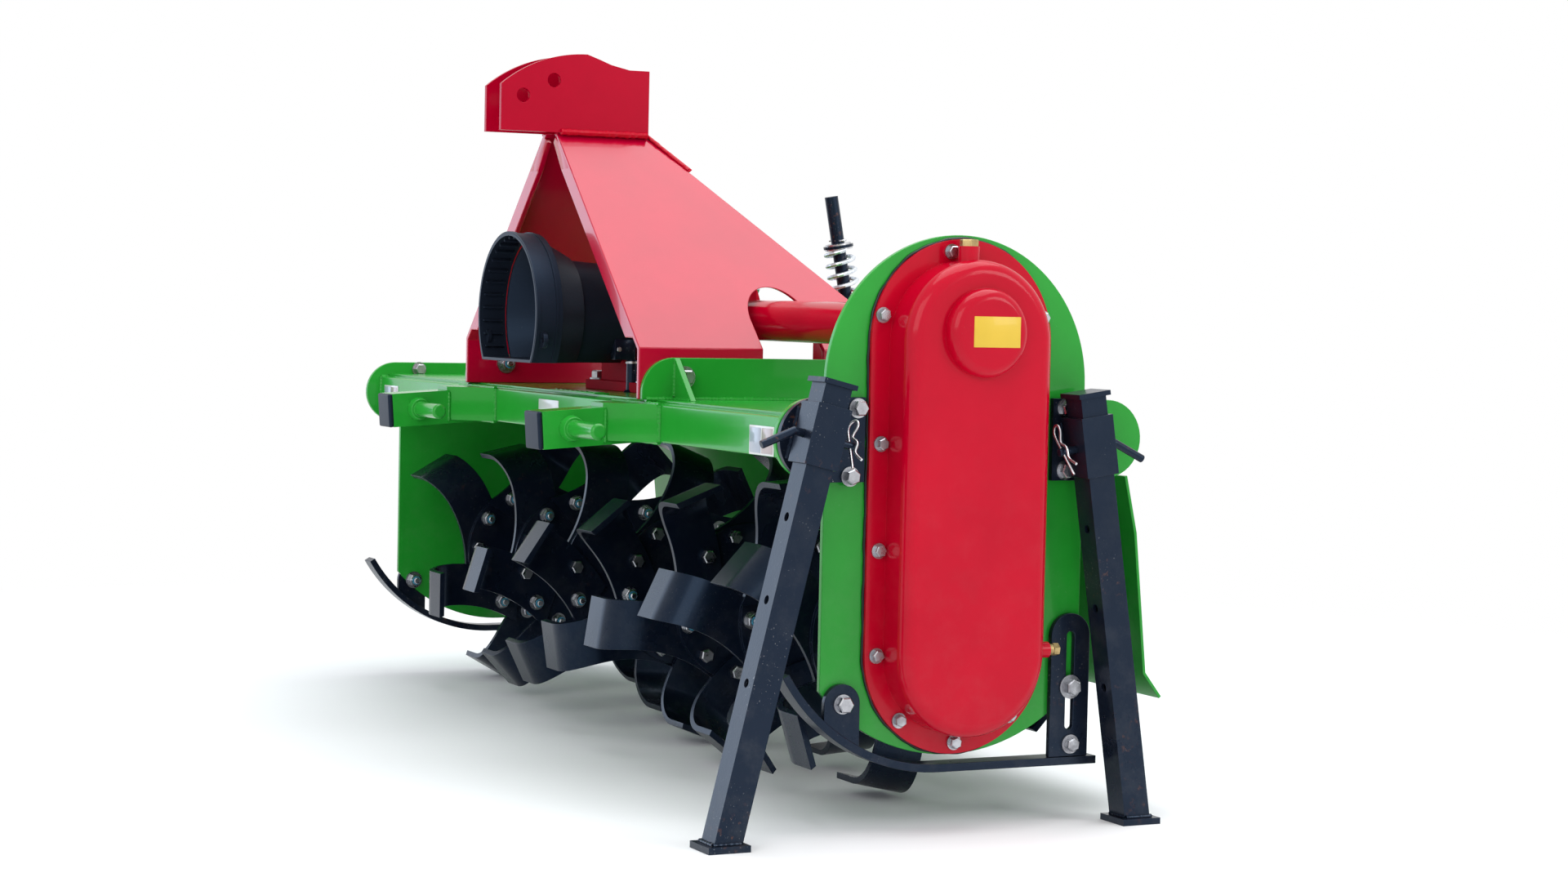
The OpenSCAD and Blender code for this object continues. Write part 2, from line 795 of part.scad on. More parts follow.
module rear_leg_frame() {
    leg_frame(rear_foot_y, -rear_lean) children();
}

// Sleeve of a leg, with the spacer that holds it off the bracket plate
module leg_sleeve(len) {
    hole = leg + 2 * leg_gap;
    spacer = leg_x - sleeve / 2 - side_out - bracket_t;
    low = sleeve_low(len);
    difference() {
        union() {
            translate([-sleeve / 2, -sleeve / 2, low]) cube([sleeve, sleeve, sleeve_len]);
            translate([-sleeve / 2 - spacer - 1, -leg / 2, low + 4]) cube([spacer + 2, leg, sleeve_len - 8]);
        }
        translate([-hole / 2, -hole / 2, low - 1]) cube([hole, hole, sleeve_len + 2]);
        translate([0, sleeve, leg_pin_at(len)]) rotate([90, 0, 0]) cylinder(d = leg_pin_d + 0.4, h = 2 * sleeve);
    }
}

module stand_bracket_front() {
    color(black) {
        plate_yz(side_out, bracket_t) {
            translate([-front_beam_y, beam_z]) circle(end_r + 2);
            translate([-front_beam_y, beam_z - end_r - 2])
                square([front_beam_y - bracket_inner, 2 * end_r + 4]);
        }
        front_leg_frame() leg_sleeve(front_leg_len);
    }
}

module stand_bracket_rear() {
    color(black) {
        plate_yz(side_out, bracket_t) translate([bracket_inner, beam_z - end_r - 2]) square([rear_bracket_w, 2 * end_r + 4]);
        rear_leg_frame() leg_sleeve(rear_leg_len);
    }
}

// Locking pin of a leg: shown outside the leg only, with its bent handle and its clip end
module stand_pin(len) {
    clear = leg / 2 + leg_gap;
    over = 12;
    handle = 46;
    out = sleeve / 2 + over;
    at = leg_pin_at(len);
    translate([0, -clear, at]) rotate([90, 0, 0]) cylinder(d = leg_pin_d, h = out - clear);
    translate([0, out + over, at]) rotate([90, 0, 0]) cylinder(d = leg_pin_d, h = out + over - clear);
    translate([0, -out, at]) sphere(d = leg_pin_d);
    translate([0, -out, at]) rotate([125, 0, 0]) cylinder(d = leg_pin_d, h = handle);
}

module stand_pins() {
    color(black) {
        front_leg_frame() stand_pin(front_leg_len);
        rear_leg_frame() mirror([0, 1, 0]) stand_pin(rear_leg_len);
    }
}

// Square leg with its top cap and row of pin holes, cut level on top of its foot plate
module parking_leg(y, lean, len) {
    hole_pitch = 100;
    difference() {
        leg_frame(y, lean) difference() {
            union() {
                translate([-leg / 2, -leg / 2, -leg]) cube([leg, leg, len + leg]);
                translate([-sleeve / 2, -sleeve / 2, len]) cube([sleeve, sleeve, leg_cap_h]);
            }
            translate([-leg / 2 + leg_wall, -leg / 2 + leg_wall, -2 * leg])
                cube([leg - 2 * leg_wall, leg - 2 * leg_wall, len + 2 * leg]);
            for (z = [leg_pin_at(len) : -hole_pitch : hole_pitch]) translate([0, leg, z]) rotate([90, 0, 0])
                cylinder(d = leg_pin_d + 1, h = 2 * leg);
        }
        translate([leg_x - foot, y - 2 * foot, foot_t / 2 - 4 * foot]) cube([2 * foot, 4 * foot, 4 * foot]);
    }
    translate([leg_x - foot / 2, y - foot / 2, 0]) cube([foot, foot, foot_t]);
}

module leg_front() {
    color(black) parking_leg(-front_foot_y, front_lean, front_leg_len);
}

module leg_rear() {
    color(black) parking_leg(rear_foot_y, -rear_lean, rear_leg_len);
}

tube_end = frame_half - 20;

// Rotor tube with its journals
module rotor_shaft() {
    color(black) translate([0, 0, rotor_z]) rotate([0, 90, 0]) {
        difference() {
            translate([0, 0, -tube_end]) cylinder(r = rotor_tube_r, h = 2 * tube_end);
            for (g = [1 : gang_n]) translate([0, 0, gang_x(g) - disc_t / 2]) difference() {
                cylinder(r = 2 * rotor_tube_r, h = disc_t);
                cylinder(r = rotor_tube_r - 2, h = disc_t);
            }
        }
        translate([0, 0, -side_out - 12]) cylinder(r = journal_r, h = side_out + 12 - tube_end + 1);
        translate([0, 0, tube_end - 1]) cylinder(r = journal_r, h = side_out + bead_t + 20 - tube_end + 1);
    }
}

// Bearing housing outside the right side plate
module rotor_bearing() {
    flange_r = 66;
    flange_h = 9;
    hub_r = 44;
    hub_h = 22;
    bore_h = 14;
    color(black) translate([-side_out, 0, rotor_z]) rotate([0, -90, 0]) difference() {
        union() {
            cylinder(r = flange_r, h = flange_h);
            cylinder(r = hub_r, h = hub_h);
        }
        translate([0, 0, -1]) cylinder(r = journal_r + running, h = bore_h + 1);
    }
}

function gang_x(g) = (g - (gang_n + 1) / 2) * gang_pitch;

// Curved band of a tine in the plane of its disc; its root lies ahead of its foot
module tine_outline() {
    intersection() {
        translate([-tine_centre_t, tine_centre_r]) difference() {
            circle(tine_outer);
            circle(tine_inner);
        }
        translate([-tine_centre_t, tine_root]) square([tine_centre_t + tine_outer, 2 * tine_flat_r]);
    }
}

// Bent sheet of a tine, drawn with its reach across and its radius up
module tine_sheet() {
    bend_r = tine_flat_r - tine_bend;
    translate([0, tine_root - 5]) square([tine_t, bend_r - tine_root + 5]);
    translate([tine_bend, tine_flat_r - tine_t]) square([tine_reach - tine_bend, tine_t]);
    intersection() {
        translate([tine_bend, bend_r]) difference() {
            circle(tine_bend);
            circle(tine_bend - tine_t);
        }
        translate([0, bend_r]) square(tine_bend);
    }
}

module tine() {
    intersection() {
        rotate([90, 0, 90]) linear_extrude(height = tine_reach) tine_outline();
        translate([0, tine_outer, 0]) rotate([90, 0, 0]) linear_extrude(height = 3 * tine_outer) tine_sheet();
    }
}

// Disc with its tines, half of them on each face
module tine_gang(g) {
    color(black) translate([gang_x(g), 0, rotor_z]) rotate([first_gang_turn + (g - 1) * scroll, 0, 0]) {
        rotate([0, 90, 0]) difference() {
            translate([0, 0, -disc_t / 2]) cylinder(r = disc_r, h = disc_t);
            translate([0, 0, -disc_t]) cylinder(r = rotor_tube_r - 1.9, h = 2 * disc_t);
        }
        for (k = [0 : tine_n - 1]) rotate([k * tine_step, 0, 0]) mirror([k % 2, 0, 0])
            translate([disc_t / 2 - tine_sink, 0, 0]) tine();
    }
}

hinge_n = 4;
knuckle = 40;
hinge_lug = 36;
hinge_end = 100;

function hinge_x(i) = (i - (hinge_n - 1) / 2) * 2 * (frame_half - hinge_end) / (hinge_n - 1);

// Lugs on the rear beam, each with a stub of hinge pin to both sides
module tail_hinges() {
    back = rear_beam_y + tube / 2;
    color(green) for (i = [0 : hinge_n - 1]) translate([hinge_x(i), 0, 0]) {
        translate([-hinge_lug / 2, back, tail_hinge_z]) cube([hinge_lug, tail_hinge_y - back, 30]);
        translate([-hinge_lug / 2, tail_hinge_y, tail_hinge_z]) rotate([0, 90, 0]) cylinder(r = hinge_r, h = hinge_lug);
        translate([-hinge_lug / 2 - knuckle, tail_hinge_y, tail_hinge_z]) rotate([0, 90, 0])
            cylinder(d = hinge_pin_d, h = hinge_lug + 2 * knuckle);
    }
}

tail_half = frame_half - 8;
// Outline of the tailboard's sheet below its hinge, from the top to the curled lower edge
tail_path = [[3.41, -15], [20, -88], [39, -268], [64, -300]];

// Side of a fold of the tailboard's sheet, scaled to keep the sheet's thickness
function tail_run(i) = (tail_path[i + 1] - tail_path[i]) / norm(tail_path[i + 1] - tail_path[i]);
function left_of(v) = [-v[1], v[0]];
function tail_side(i) = i == 0 ? left_of(tail_run(0))
    : i == len(tail_path) - 1 ? left_of(tail_run(i - 1))
    : (left_of(tail_run(i - 1)) + left_of(tail_run(i))) / (1 + tail_run(i - 1) * tail_run(i));

// Section of the tailboard's sheet, drawn with Y across and Z up from the hinge
module tail_section() {
    folds = [0 : len(tail_path) - 1];
    polygon(concat([for (i = folds) tail_path[i] + tail_side(i) * tail_t / 2],
                   [for (i = folds) let (k = len(tail_path) - 1 - i) tail_path[k] - tail_side(k) * tail_t / 2]));
}

// Middle of the tailboard's sheet at a depth below the hinge, on its long panel
function sheet_y(z) = tail_path[1][0]
    + (z - tail_path[1][1]) * (tail_path[2][0] - tail_path[1][0]) / (tail_path[2][1] - tail_path[1][1]);

// Hinge tube with the strap that holds it on the sheet
module tail_knuckle(width) {
    strap = 46;
    plate_yz(-width / 2, width) difference() {
        union() {
            circle(hinge_r);
            rotate(atan2(tail_path[1][1], tail_path[1][0])) translate([0, -tail_t / 2 - 1])
                square([strap, tail_t + 2]);
        }
        circle(d = hinge_pin_d + 0.2);
    }
}

module tailboard() {
    side_gap = 0.3;
    ear_t = 8;
    ear_z = rod_lug_z - tail_hinge_z;
    ear_y = rod_lug_y - tail_hinge_y;
    width = knuckle - 2 * side_gap;
    color(green) translate([0, tail_hinge_y, tail_hinge_z]) {
        plate_yz(-tail_half, 2 * tail_half) tail_section();
        for (i = [0 : hinge_n - 1], s = [-1, 1])
            translate([hinge_x(i) + s * (hinge_lug + knuckle + side_gap) / 2, 0, 0]) tail_knuckle(width);
        // Ears that carry the rod
        for (s = [-1, 1]) plate_yz(s * (rod_d / 2 + 2 + ear_t / 2) - ear_t / 2, ear_t) difference() {
            union() {
                translate([ear_y, ear_z]) circle(rod_ear_r);
                polygon([[sheet_y(ear_z + rod_ear_r), ear_z + rod_ear_r], [ear_y, ear_z + rod_ear_r],
                         [ear_y, ear_z - rod_ear_r], [sheet_y(ear_z - rod_ear_r), ear_z - rod_ear_r]]);
            }
            translate([ear_y, ear_z]) circle(d = 10.2);
        }
    }
}

module rod_frame() {
    translate([0, rod_lug_y, rod_lug_z]) rotate([rod_lean, 0, 0]) children();
}

spring_low = guide_up + 5;
spring_turns = 4;
spring_pitch = 17;
spring_r = 20.5;
collar_at = spring_low + spring_turns * spring_pitch + spring_wire + 0.3;

// Rod of the tailboard, with its cross pin and the washer above its spring
module tail_rod() {
    ear_gap = rod_d / 2 + 2 + 8;
    color(black) rod_frame() {
        translate([0, 0, -14]) cylinder(d = rod_d, h = rod_len + 14);
        translate([-ear_gap - 4, 0, 0]) rotate([0, 90, 0]) cylinder(d = 10, h = 2 * ear_gap + 8);
        translate([0, 0, collar_at]) cylinder(r = spring_r + 2, h = 4);
    }
}

// Open coil round the rod, swept along its helix
module tail_spring() {
    sides = 8;
    per_turn = 16;
    rings = spring_turns * per_turn;
    function ring_point(i, j) = let (a = 360 * i / per_turn, b = 360 * j / sides,
        r = spring_r + spring_wire / 2 * cos(b))
        [r * cos(a), r * sin(a), spring_pitch * i / per_turn + spring_wire / 2 * sin(b)];
    points = [for (i = [0 : rings], j = [0 : sides - 1]) ring_point(i, j)];
    skin = [for (i = [0 : rings - 1], j = [0 : sides - 1])
        [i * sides + j, i * sides + (j + 1) % sides, (i + 1) * sides + (j + 1) % sides, (i + 1) * sides + j]];
    first = [for (j = [sides - 1 : -1 : 0]) j];
    last = [for (j = [0 : sides - 1]) rings * sides + j];
    color(steel) rod_frame() translate([0, 0, spring_low + spring_wire / 2])
        polyhedron(points = points, faces = concat(skin, [first, last]));
}

// Upright on the rear beam with the slotted tab that the rod slides through
module tail_rod_guide() {
    tab_w = 64;
    tab_t = 8;
    tab_z = rod_lug_z + guide_up * cos(rod_lean);
    tab_y = rod_lug_y - guide_up * sin(rod_lean);
    slot = rod_d + 4;
    stem = 10;
    beyond = 36;
    slot_back = 22;
    slot_on = 10;
    foot_y = rear_beam_y - tab_t;
    color(red) {
        difference() {
            translate([-tab_w / 2, foot_y, tab_z - tab_t]) cube([tab_w, tab_y + beyond - foot_y, tab_t]);
            translate([0, tab_y - slot_back, tab_z - 2 * tab_t]) cylinder(d = slot, h = 4 * tab_t);
            translate([0, tab_y + slot_on, tab_z - 2 * tab_t]) cylinder(d = slot, h = 4 * tab_t);
            translate([-slot / 2, tab_y - slot_back, tab_z - 2 * tab_t]) cube([slot, slot_back + slot_on, 4 * tab_t]);
        }
        translate([-tab_w / 2, foot_y, deck_top]) cube([tab_w, stem, tab_z - tab_t - deck_top]);
    }
}

placed() front_beam();
placed() rear_beam();
placed() deck();
placed() end_plates();
placed() chain_plate();
placed() side_plate_right();
placed() hitch_arm_left();
placed() hitch_arm_right();
placed() hitch_pin_left();
placed() hitch_pin_right();
placed() arm_caps();
placed() headstock_bracket_left();
placed() headstock_bracket_right();
placed() headstock_plate_left();
placed() headstock_plate_right();
placed() headstock_tie();
placed() top_link_plates();
placed() gearbox();
placed() drive_tube();
placed() input_shaft();
placed() input_guard();
placed() sealing_bead();
placed() chain_cover();
placed() oil_plugs();
placed() skid_left();
placed() skid_right();
placed() skid_adjusters();
placed() stand_bracket_front();
placed() stand_bracket_rear();
placed() stand_pins();
placed() leg_front();
placed() leg_rear();
placed() rotor_shaft();
placed() rotor_bearing();
placed() tine_gang(1);  // tine_gang_1
placed() tine_gang(2);  // tine_gang_2
placed() tine_gang(3);  // tine_gang_3
placed() tine_gang(4);  // tine_gang_4
placed() tine_gang(5);  // tine_gang_5
placed() tine_gang(6);  // tine_gang_6
placed() tine_gang(7);  // tine_gang_7
placed() tail_hinges();
placed() tailboard();
placed() tail_rod();
placed() tail_spring();
placed() tail_rod_guide();
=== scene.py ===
"""Looks of the rotavator: finishes, fasteners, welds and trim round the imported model."""
import json
import math

import bmesh
import bpy
from mathutils import Matrix, Vector


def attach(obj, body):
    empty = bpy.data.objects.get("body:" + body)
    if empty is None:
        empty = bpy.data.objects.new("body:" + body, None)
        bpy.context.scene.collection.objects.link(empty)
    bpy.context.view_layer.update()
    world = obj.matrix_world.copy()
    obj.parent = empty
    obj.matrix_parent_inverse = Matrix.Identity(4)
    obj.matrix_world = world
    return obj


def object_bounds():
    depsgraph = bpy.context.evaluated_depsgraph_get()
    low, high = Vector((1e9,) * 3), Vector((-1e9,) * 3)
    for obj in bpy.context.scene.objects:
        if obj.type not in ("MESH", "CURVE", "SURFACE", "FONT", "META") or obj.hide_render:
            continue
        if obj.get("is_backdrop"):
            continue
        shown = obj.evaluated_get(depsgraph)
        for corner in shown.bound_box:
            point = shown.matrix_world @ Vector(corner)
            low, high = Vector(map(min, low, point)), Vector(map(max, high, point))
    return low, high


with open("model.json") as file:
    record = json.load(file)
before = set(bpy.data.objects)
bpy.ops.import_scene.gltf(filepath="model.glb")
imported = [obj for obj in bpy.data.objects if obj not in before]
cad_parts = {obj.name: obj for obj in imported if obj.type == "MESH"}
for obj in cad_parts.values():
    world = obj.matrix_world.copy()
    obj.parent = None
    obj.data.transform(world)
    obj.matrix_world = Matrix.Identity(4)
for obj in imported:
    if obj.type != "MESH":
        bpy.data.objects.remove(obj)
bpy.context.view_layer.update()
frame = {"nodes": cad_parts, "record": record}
nodes = frame["nodes"]

# Drawing places are in millimetres from the rotor's middle plane and axis; the model's origin lies here.
ORIGIN = Vector((29.5, -22.159, 0.0))
MM = 0.001
PLATE = 8.0
SIDE_FACE = 793.0
SIDE_INNER = SIDE_FACE - PLATE
BRACKET_FACE = SIDE_FACE + PLATE
COVER_FACE = 801.0
COVER_FRONT = 874.4
COVER_TOP_Z = 596.0
COVER_NECK_X = 825.0
DECK_TOP = 507.0
BEAM_LOW, BEAM_HIGH = 452.0, 502.0
BEAM_FRONT = -219.5
ARM_X = 308.0
HEAD_FOOT_X = 337.0
HEAD_OUTER = HEAD_FOOT_X + PLATE
HEAD_INNER = HEAD_FOOT_X - PLATE
HEAD_BEND_Z = 576.0
HEAD_TOP_X, HEAD_TOP_Z = 26.0, 873.0
ROTOR_Z = 217.062
DRIVE_Z = 614.0
GANGS = 7
GANG_PITCH = 632.0 / 3
FIRST_TURN = 89.93
SCROLL = -120.0 / 7
BOLT_CIRCLE = 98.0


def spot(x, y, z):
    """A drawing place in the model's metres."""
    return (Vector((x, y, z)) - ORIGIN) * MM


def facing(place, axis):
    """Frame at a drawing place with its Z along the axis."""
    turn = Vector((0, 0, 1)).rotation_difference(Vector(axis)).to_matrix().to_4x4()
    return Matrix.Translation(spot(*place)) @ turn


# Finishes


def group_socket(group, name, kind, way, value=None):
    socket = group.interface.new_socket(name=name, in_out=way, socket_type=kind)
    if value is not None:
        socket.default_value = value


def add_node(tree, kind, values=None, **settings):
    node = tree.nodes.new(kind)
    for key, value in settings.items():
        setattr(node, key, value)
    for key, value in (values or {}).items():
        node.inputs[key].default_value = value
    return node


def ramp(tree, source, low, high):
    """Mask that rises from 0 to 1 between two values."""
    node = add_node(tree, "ShaderNodeMapRange", {"From Min": low, "From Max": high})
    node.clamp = True
    tree.links.new(source, node.inputs["Value"])
    return node.outputs["Result"]


def noise(tree, vector, scale, detail=3.0, rough=0.5):
    node = add_node(tree, "ShaderNodeTexNoise", {"Scale": scale, "Detail": detail, "Roughness": rough})
    tree.links.new(vector, node.inputs["Vector"])
    return node.outputs["Fac"]


def mixed(tree, fac, first, second, blend="MIX"):
    """Colour mix of two colours or sockets."""
    node = add_node(tree, "ShaderNodeMix", data_type="RGBA", blend_type=blend)
    for socket, value in ((node.inputs[0], fac), (node.inputs[6], first), (node.inputs[7], second)):
        if isinstance(value, (int, float, tuple)):
            socket.default_value = value
        else:
            tree.links.new(value, socket)
    return node.outputs[2]


def maths(tree, kind, first, second):
    node = add_node(tree, "ShaderNodeMath", operation=kind)
    for socket, value in ((node.inputs[0], first), (node.inputs[1], second)):
        if isinstance(value, (int, float)):
            socket.default_value = value
        else:
            tree.links.new(value, socket)
    return node.outputs[0]


def make_paint_group():
    """Sprayed paint: slow tone drift, orange peel, dust that thickens downwards, and small specks."""
    group = bpy.data.node_groups.new("sprayed_paint", "ShaderNodeTree")
    group_socket(group, "Paint", "NodeSocketColor", "INPUT", (0.5, 0.5, 0.5, 1))
    group_socket(group, "Dust", "NodeSocketFloat", "INPUT", 0.3)
    group_socket(group, "Specks", "NodeSocketFloat", "INPUT", 0.3)
    group_socket(group, "Gloss", "NodeSocketFloat", "INPUT", 0.3)
    group_socket(group, "Color", "NodeSocketColor", "OUTPUT")
    group_socket(group, "Roughness", "NodeSocketFloat", "OUTPUT")
    group_socket(group, "Height", "NodeSocketFloat", "OUTPUT")
    start = group.nodes.new("NodeGroupInput")
    end = group.nodes.new("NodeGroupOutput")
    place = add_node(group, "ShaderNodeTexCoord").outputs["Object"]
    tone = ramp(group, noise(group, place, 5.0, 6.0, 0.6), 0.35, 0.68)
    darker = mixed(group, 1.0, start.outputs["Paint"], (0.84, 0.85, 0.84, 1), "MULTIPLY")
    colour = mixed(group, tone, darker, start.outputs["Paint"])
    split = add_node(group, "ShaderNodeSeparateXYZ")
    group.links.new(place, split.inputs[0])
    low = ramp(group, split.outputs["Z"], 0.6, 0.02)
    cloud = ramp(group, noise(group, place, 22.0, 8.0, 0.7), 0.46, 0.75)
    dust = maths(group, "MULTIPLY", maths(group, "MULTIPLY", cloud, low), start.outputs["Dust"])
    colour = mixed(group, dust, colour, (0.3, 0.29, 0.27, 1))
    grain = ramp(group, noise(group, place, 380.0, 2.0), 0.68, 0.75)
    patches = ramp(group, noise(group, place, 9.0, 3.0), 0.48, 0.66)
    specks = maths(group, "MULTIPLY", maths(group, "MULTIPLY", grain, patches), start.outputs["Specks"])
    colour = mixed(group, specks, colour, (0.6, 0.6, 0.6, 1))
    group.links.new(colour, end.inputs["Color"])
    rough = maths(group, "ADD", start.outputs["Gloss"], maths(group, "MULTIPLY", tone, 0.05))
    rough = maths(group, "ADD", rough, maths(group, "MULTIPLY", dust, 0.5))
    group.links.new(rough, end.inputs["Roughness"])
    peel = maths(group, "MULTIPLY", noise(group, place, 320.0, 2.0), 0.6)
    height = maths(group, "ADD", peel, maths(group, "MULTIPLY", specks, 0.4))
    group.links.new(height, end.inputs["Height"])
    return group


def make_rust_group():
    """Rust that breaks through in small spots, gathered in patches."""
    group = bpy.data.node_groups.new("rust_spots", "ShaderNodeTree")
    group_socket(group, "Color", "NodeSocketColor", "INPUT", (0.1, 0.1, 0.1, 1))
    group_socket(group, "Amount", "NodeSocketFloat", "INPUT", 0.5)
    group_socket(group, "Color", "NodeSocketColor", "OUTPUT")
    group_socket(group, "Mask", "NodeSocketFloat", "OUTPUT")
    start = group.nodes.new("NodeGroupInput")
    end = group.nodes.new("NodeGroupOutput")
    place = add_node(group, "ShaderNodeTexCoord").outputs["Object"]
    spots = ramp(group, noise(group, place, 95.0, 5.0, 0.65), 0.58, 0.68)
    patches = ramp(group, noise(group, place, 7.0, 4.0, 0.6), 0.5, 0.66)
    mask = maths(group, "MULTIPLY", maths(group, "MULTIPLY", spots, patches), start.outputs["Amount"])
    tint = mixed(group, noise(group, place, 160.0, 3.0), (0.16, 0.05, 0.015, 1), (0.34, 0.14, 0.05, 1))
    group.links.new(mixed(group, mask, start.outputs["Color"], tint), end.inputs["Color"])
    group.links.new(mask, end.inputs["Mask"])
    return group


def make_wear_group():
    """Blades rubbed a little brighter towards their feet, measured from the rotor's axis."""
    group = bpy.data.node_groups.new("blade_wear", "ShaderNodeTree")
    group_socket(group, "Color", "NodeSocketColor", "INPUT", (0.1, 0.1, 0.1, 1))
    group_socket(group, "Color", "NodeSocketColor", "OUTPUT")
    start = group.nodes.new("NodeGroupInput")
    end = group.nodes.new("NodeGroupOutput")
    place = add_node(group, "ShaderNodeTexCoord").outputs["Object"]
    axis = spot(0, 0, ROTOR_Z)
    across = add_node(group, "ShaderNodeVectorMath", {1: (0.0, axis.y, axis.z)}, operation="SUBTRACT")
    group.links.new(place, across.inputs[0])
    flat = add_node(group, "ShaderNodeVectorMath", {1: (0.0, 1.0, 1.0)}, operation="MULTIPLY")
    group.links.new(across.outputs[0], flat.inputs[0])
    radius = add_node(group, "ShaderNodeVectorMath", operation="LENGTH")
    group.links.new(flat.outputs[0], radius.inputs[0])
    reach = ramp(group, radius.outputs["Value"], 0.17, 0.225)
    rub = ramp(group, noise(group, place, 34.0, 6.0, 0.7), 0.42, 0.72)
    mask = maths(group, "MULTIPLY", maths(group, "MULTIPLY", reach, rub), 0.14)
    colour = mixed(group, mask, start.outputs["Color"], (0.06, 0.066, 0.08, 1))
    group.links.new(colour, end.inputs["Color"])
    return group


def make_metal_group():
    """Plated or machined metal: fine brushed variation and dull patches."""
    group = bpy.data.node_groups.new("plated_metal", "ShaderNodeTree")
    group_socket(group, "Metal", "NodeSocketColor", "INPUT", (0.7, 0.7, 0.7, 1))
    group_socket(group, "Gloss", "NodeSocketFloat", "INPUT", 0.3)
    group_socket(group, "Color", "NodeSocketColor", "OUTPUT")
    group_socket(group, "Roughness", "NodeSocketFloat", "OUTPUT")
    group_socket(group, "Height", "NodeSocketFloat", "OUTPUT")
    start = group.nodes.new("NodeGroupInput")
    end = group.nodes.new("NodeGroupOutput")
    place = add_node(group, "ShaderNodeTexCoord").outputs["Object"]
    dull = ramp(group, noise(group, place, 60.0, 5.0, 0.65), 0.4, 0.7)
    darker = mixed(group, 1.0, start.outputs["Metal"], (0.6, 0.6, 0.62, 1), "MULTIPLY")
    group.links.new(mixed(group, dull, start.outputs["Metal"], darker), end.inputs["Color"])
    group.links.new(maths(group, "ADD", start.outputs["Gloss"], maths(group, "MULTIPLY", dull, 0.25)),
                    end.inputs["Roughness"])
    group.links.new(noise(group, place, 700.0, 2.0), end.inputs["Height"])
    return group


PAINT = make_paint_group()
RUST = make_rust_group()
WEAR = make_wear_group()
METAL = make_metal_group()


def new_material(name):
    material = bpy.data.materials.new(name)
    material.use_nodes = True
    return material, material.node_tree, material.node_tree.nodes["Principled BSDF"]


def place_group(tree, group, values):
    node = add_node(tree, "ShaderNodeGroup", node_tree=group)
    for key, value in values.items():
        node.inputs[key].default_value = value
    return node


def bumped(tree, shader, height, strength, distance):
    bump = add_node(tree, "ShaderNodeBump", {"Strength": strength, "Distance": distance})
    tree.links.new(height, bump.inputs["Height"])
    tree.links.new(bump.outputs["Normal"], shader.inputs["Normal"])


def paint_material(name, colour, gloss, dust, specks, coat=0.3, rust=0.0, bump=0.12, shine=0.3, tint=None,
                   worn=False):
    """Paint with the shared variation, with rust spots or worn feet if asked for, and with a painted sky
    sheen as a tint on its reflections if a tint is given.
    """
    material, tree, shader = new_material(name)
    values = {"Paint": (*colour, 1), "Gloss": gloss, "Dust": dust, "Specks": specks}
    paint = place_group(tree, PAINT, values)
    surface = paint.outputs["Color"]
    if rust:
        spots = place_group(tree, RUST, {"Amount": rust})
        tree.links.new(surface, spots.inputs["Color"])
        surface = spots.outputs["Color"]
    if worn:
        wear = place_group(tree, WEAR, {})
        tree.links.new(surface, wear.inputs["Color"])
        surface = wear.outputs["Color"]
    # A given tint colours the paint's reflections: a painted sky sheen.
    if tint:
        shader.inputs["Specular Tint"].default_value = (*tint, 1)
    shader.inputs["Specular IOR Level"].default_value = shine
    tree.links.new(surface, shader.inputs["Base Color"])
    tree.links.new(paint.outputs["Roughness"], shader.inputs["Roughness"])
    shader.inputs["Coat Weight"].default_value = coat
    shader.inputs["Coat Roughness"].default_value = 0.05
    bumped(tree, shader, paint.outputs["Height"], bump, 0.0006)
    return material


def metal_material(name, colour, gloss):
    """Bare or plated metal with the shared variation."""
    material, tree, shader = new_material(name)
    metal = place_group(tree, METAL, {"Metal": (*colour, 1), "Gloss": gloss})
    tree.links.new(metal.outputs["Color"], shader.inputs["Base Color"])
    tree.links.new(metal.outputs["Roughness"], shader.inputs["Roughness"])
    shader.inputs["Metallic"].default_value = 1.0
    bumped(tree, shader, metal.outputs["Height"], 0.08, 0.0003)
    return material


# Painted sky sheen: this blue tint on the black paints' reflections, with their blue-black base colours,
# paints in the blue of the sky they reflect.
PAINTED_SKY_SHEEN = (0.36, 0.6, 1.0)
GREEN = paint_material("green_gloss", (0.018, 0.33, 0.03), 0.2, 0.08, 0.05, coat=0.2, bump=0.06,
                       shine=0.25)
RED = paint_material("crimson_gloss", (0.52, 0.0, 0.018), 0.16, 0.05, 0.03, coat=0.15, bump=0.04,
                     shine=0.15)
# Lit copy of the red paint for the leaning headstock plates and their fold ends: its pinker base colour
# is a painted sky sheen.
PAINTED_SHEEN_RED = paint_material("crimson_painted_sheen", (0.52, 0.0, 0.03), 0.2, 0.05, 0.03, coat=0.4, bump=0.04,
                          shine=0.3)
FLAT_RED = paint_material("crimson_flat", (0.45, 0.0, 0.02), 0.22, 0.05, 0.03, coat=0.05, bump=0.04,
                          shine=0.08)
CAST_RED = paint_material("crimson_cast", (0.42, 0.0, 0.015), 0.6, 0.05, 0.03, coat=0.0, bump=0.3,
                          shine=0.05)
BLACK = paint_material("black_enamel", (0.006, 0.009, 0.018), 0.27, 0.08, 0.5, coat=0.1, rust=0.5,
                       bump=0.3, shine=0.32, tint=PAINTED_SKY_SHEEN)
TINE_BLACK = paint_material("tine_black", (0.004, 0.007, 0.016), 0.24, 0.05, 0.1, coat=0.04, rust=0.08,
                            bump=0.14, shine=0.26, tint=PAINTED_SKY_SHEEN, worn=True)
PLASTIC = paint_material("moulded_black", (0.009, 0.012, 0.02), 0.42, 0.06, 0.06, coat=0.0, bump=0.25,
                         shine=0.3, tint=PAINTED_SKY_SHEEN)
SEALANT = paint_material("black_sealant", (0.008, 0.008, 0.009), 0.32, 0.0, 0.1, coat=0.2, bump=0.4)
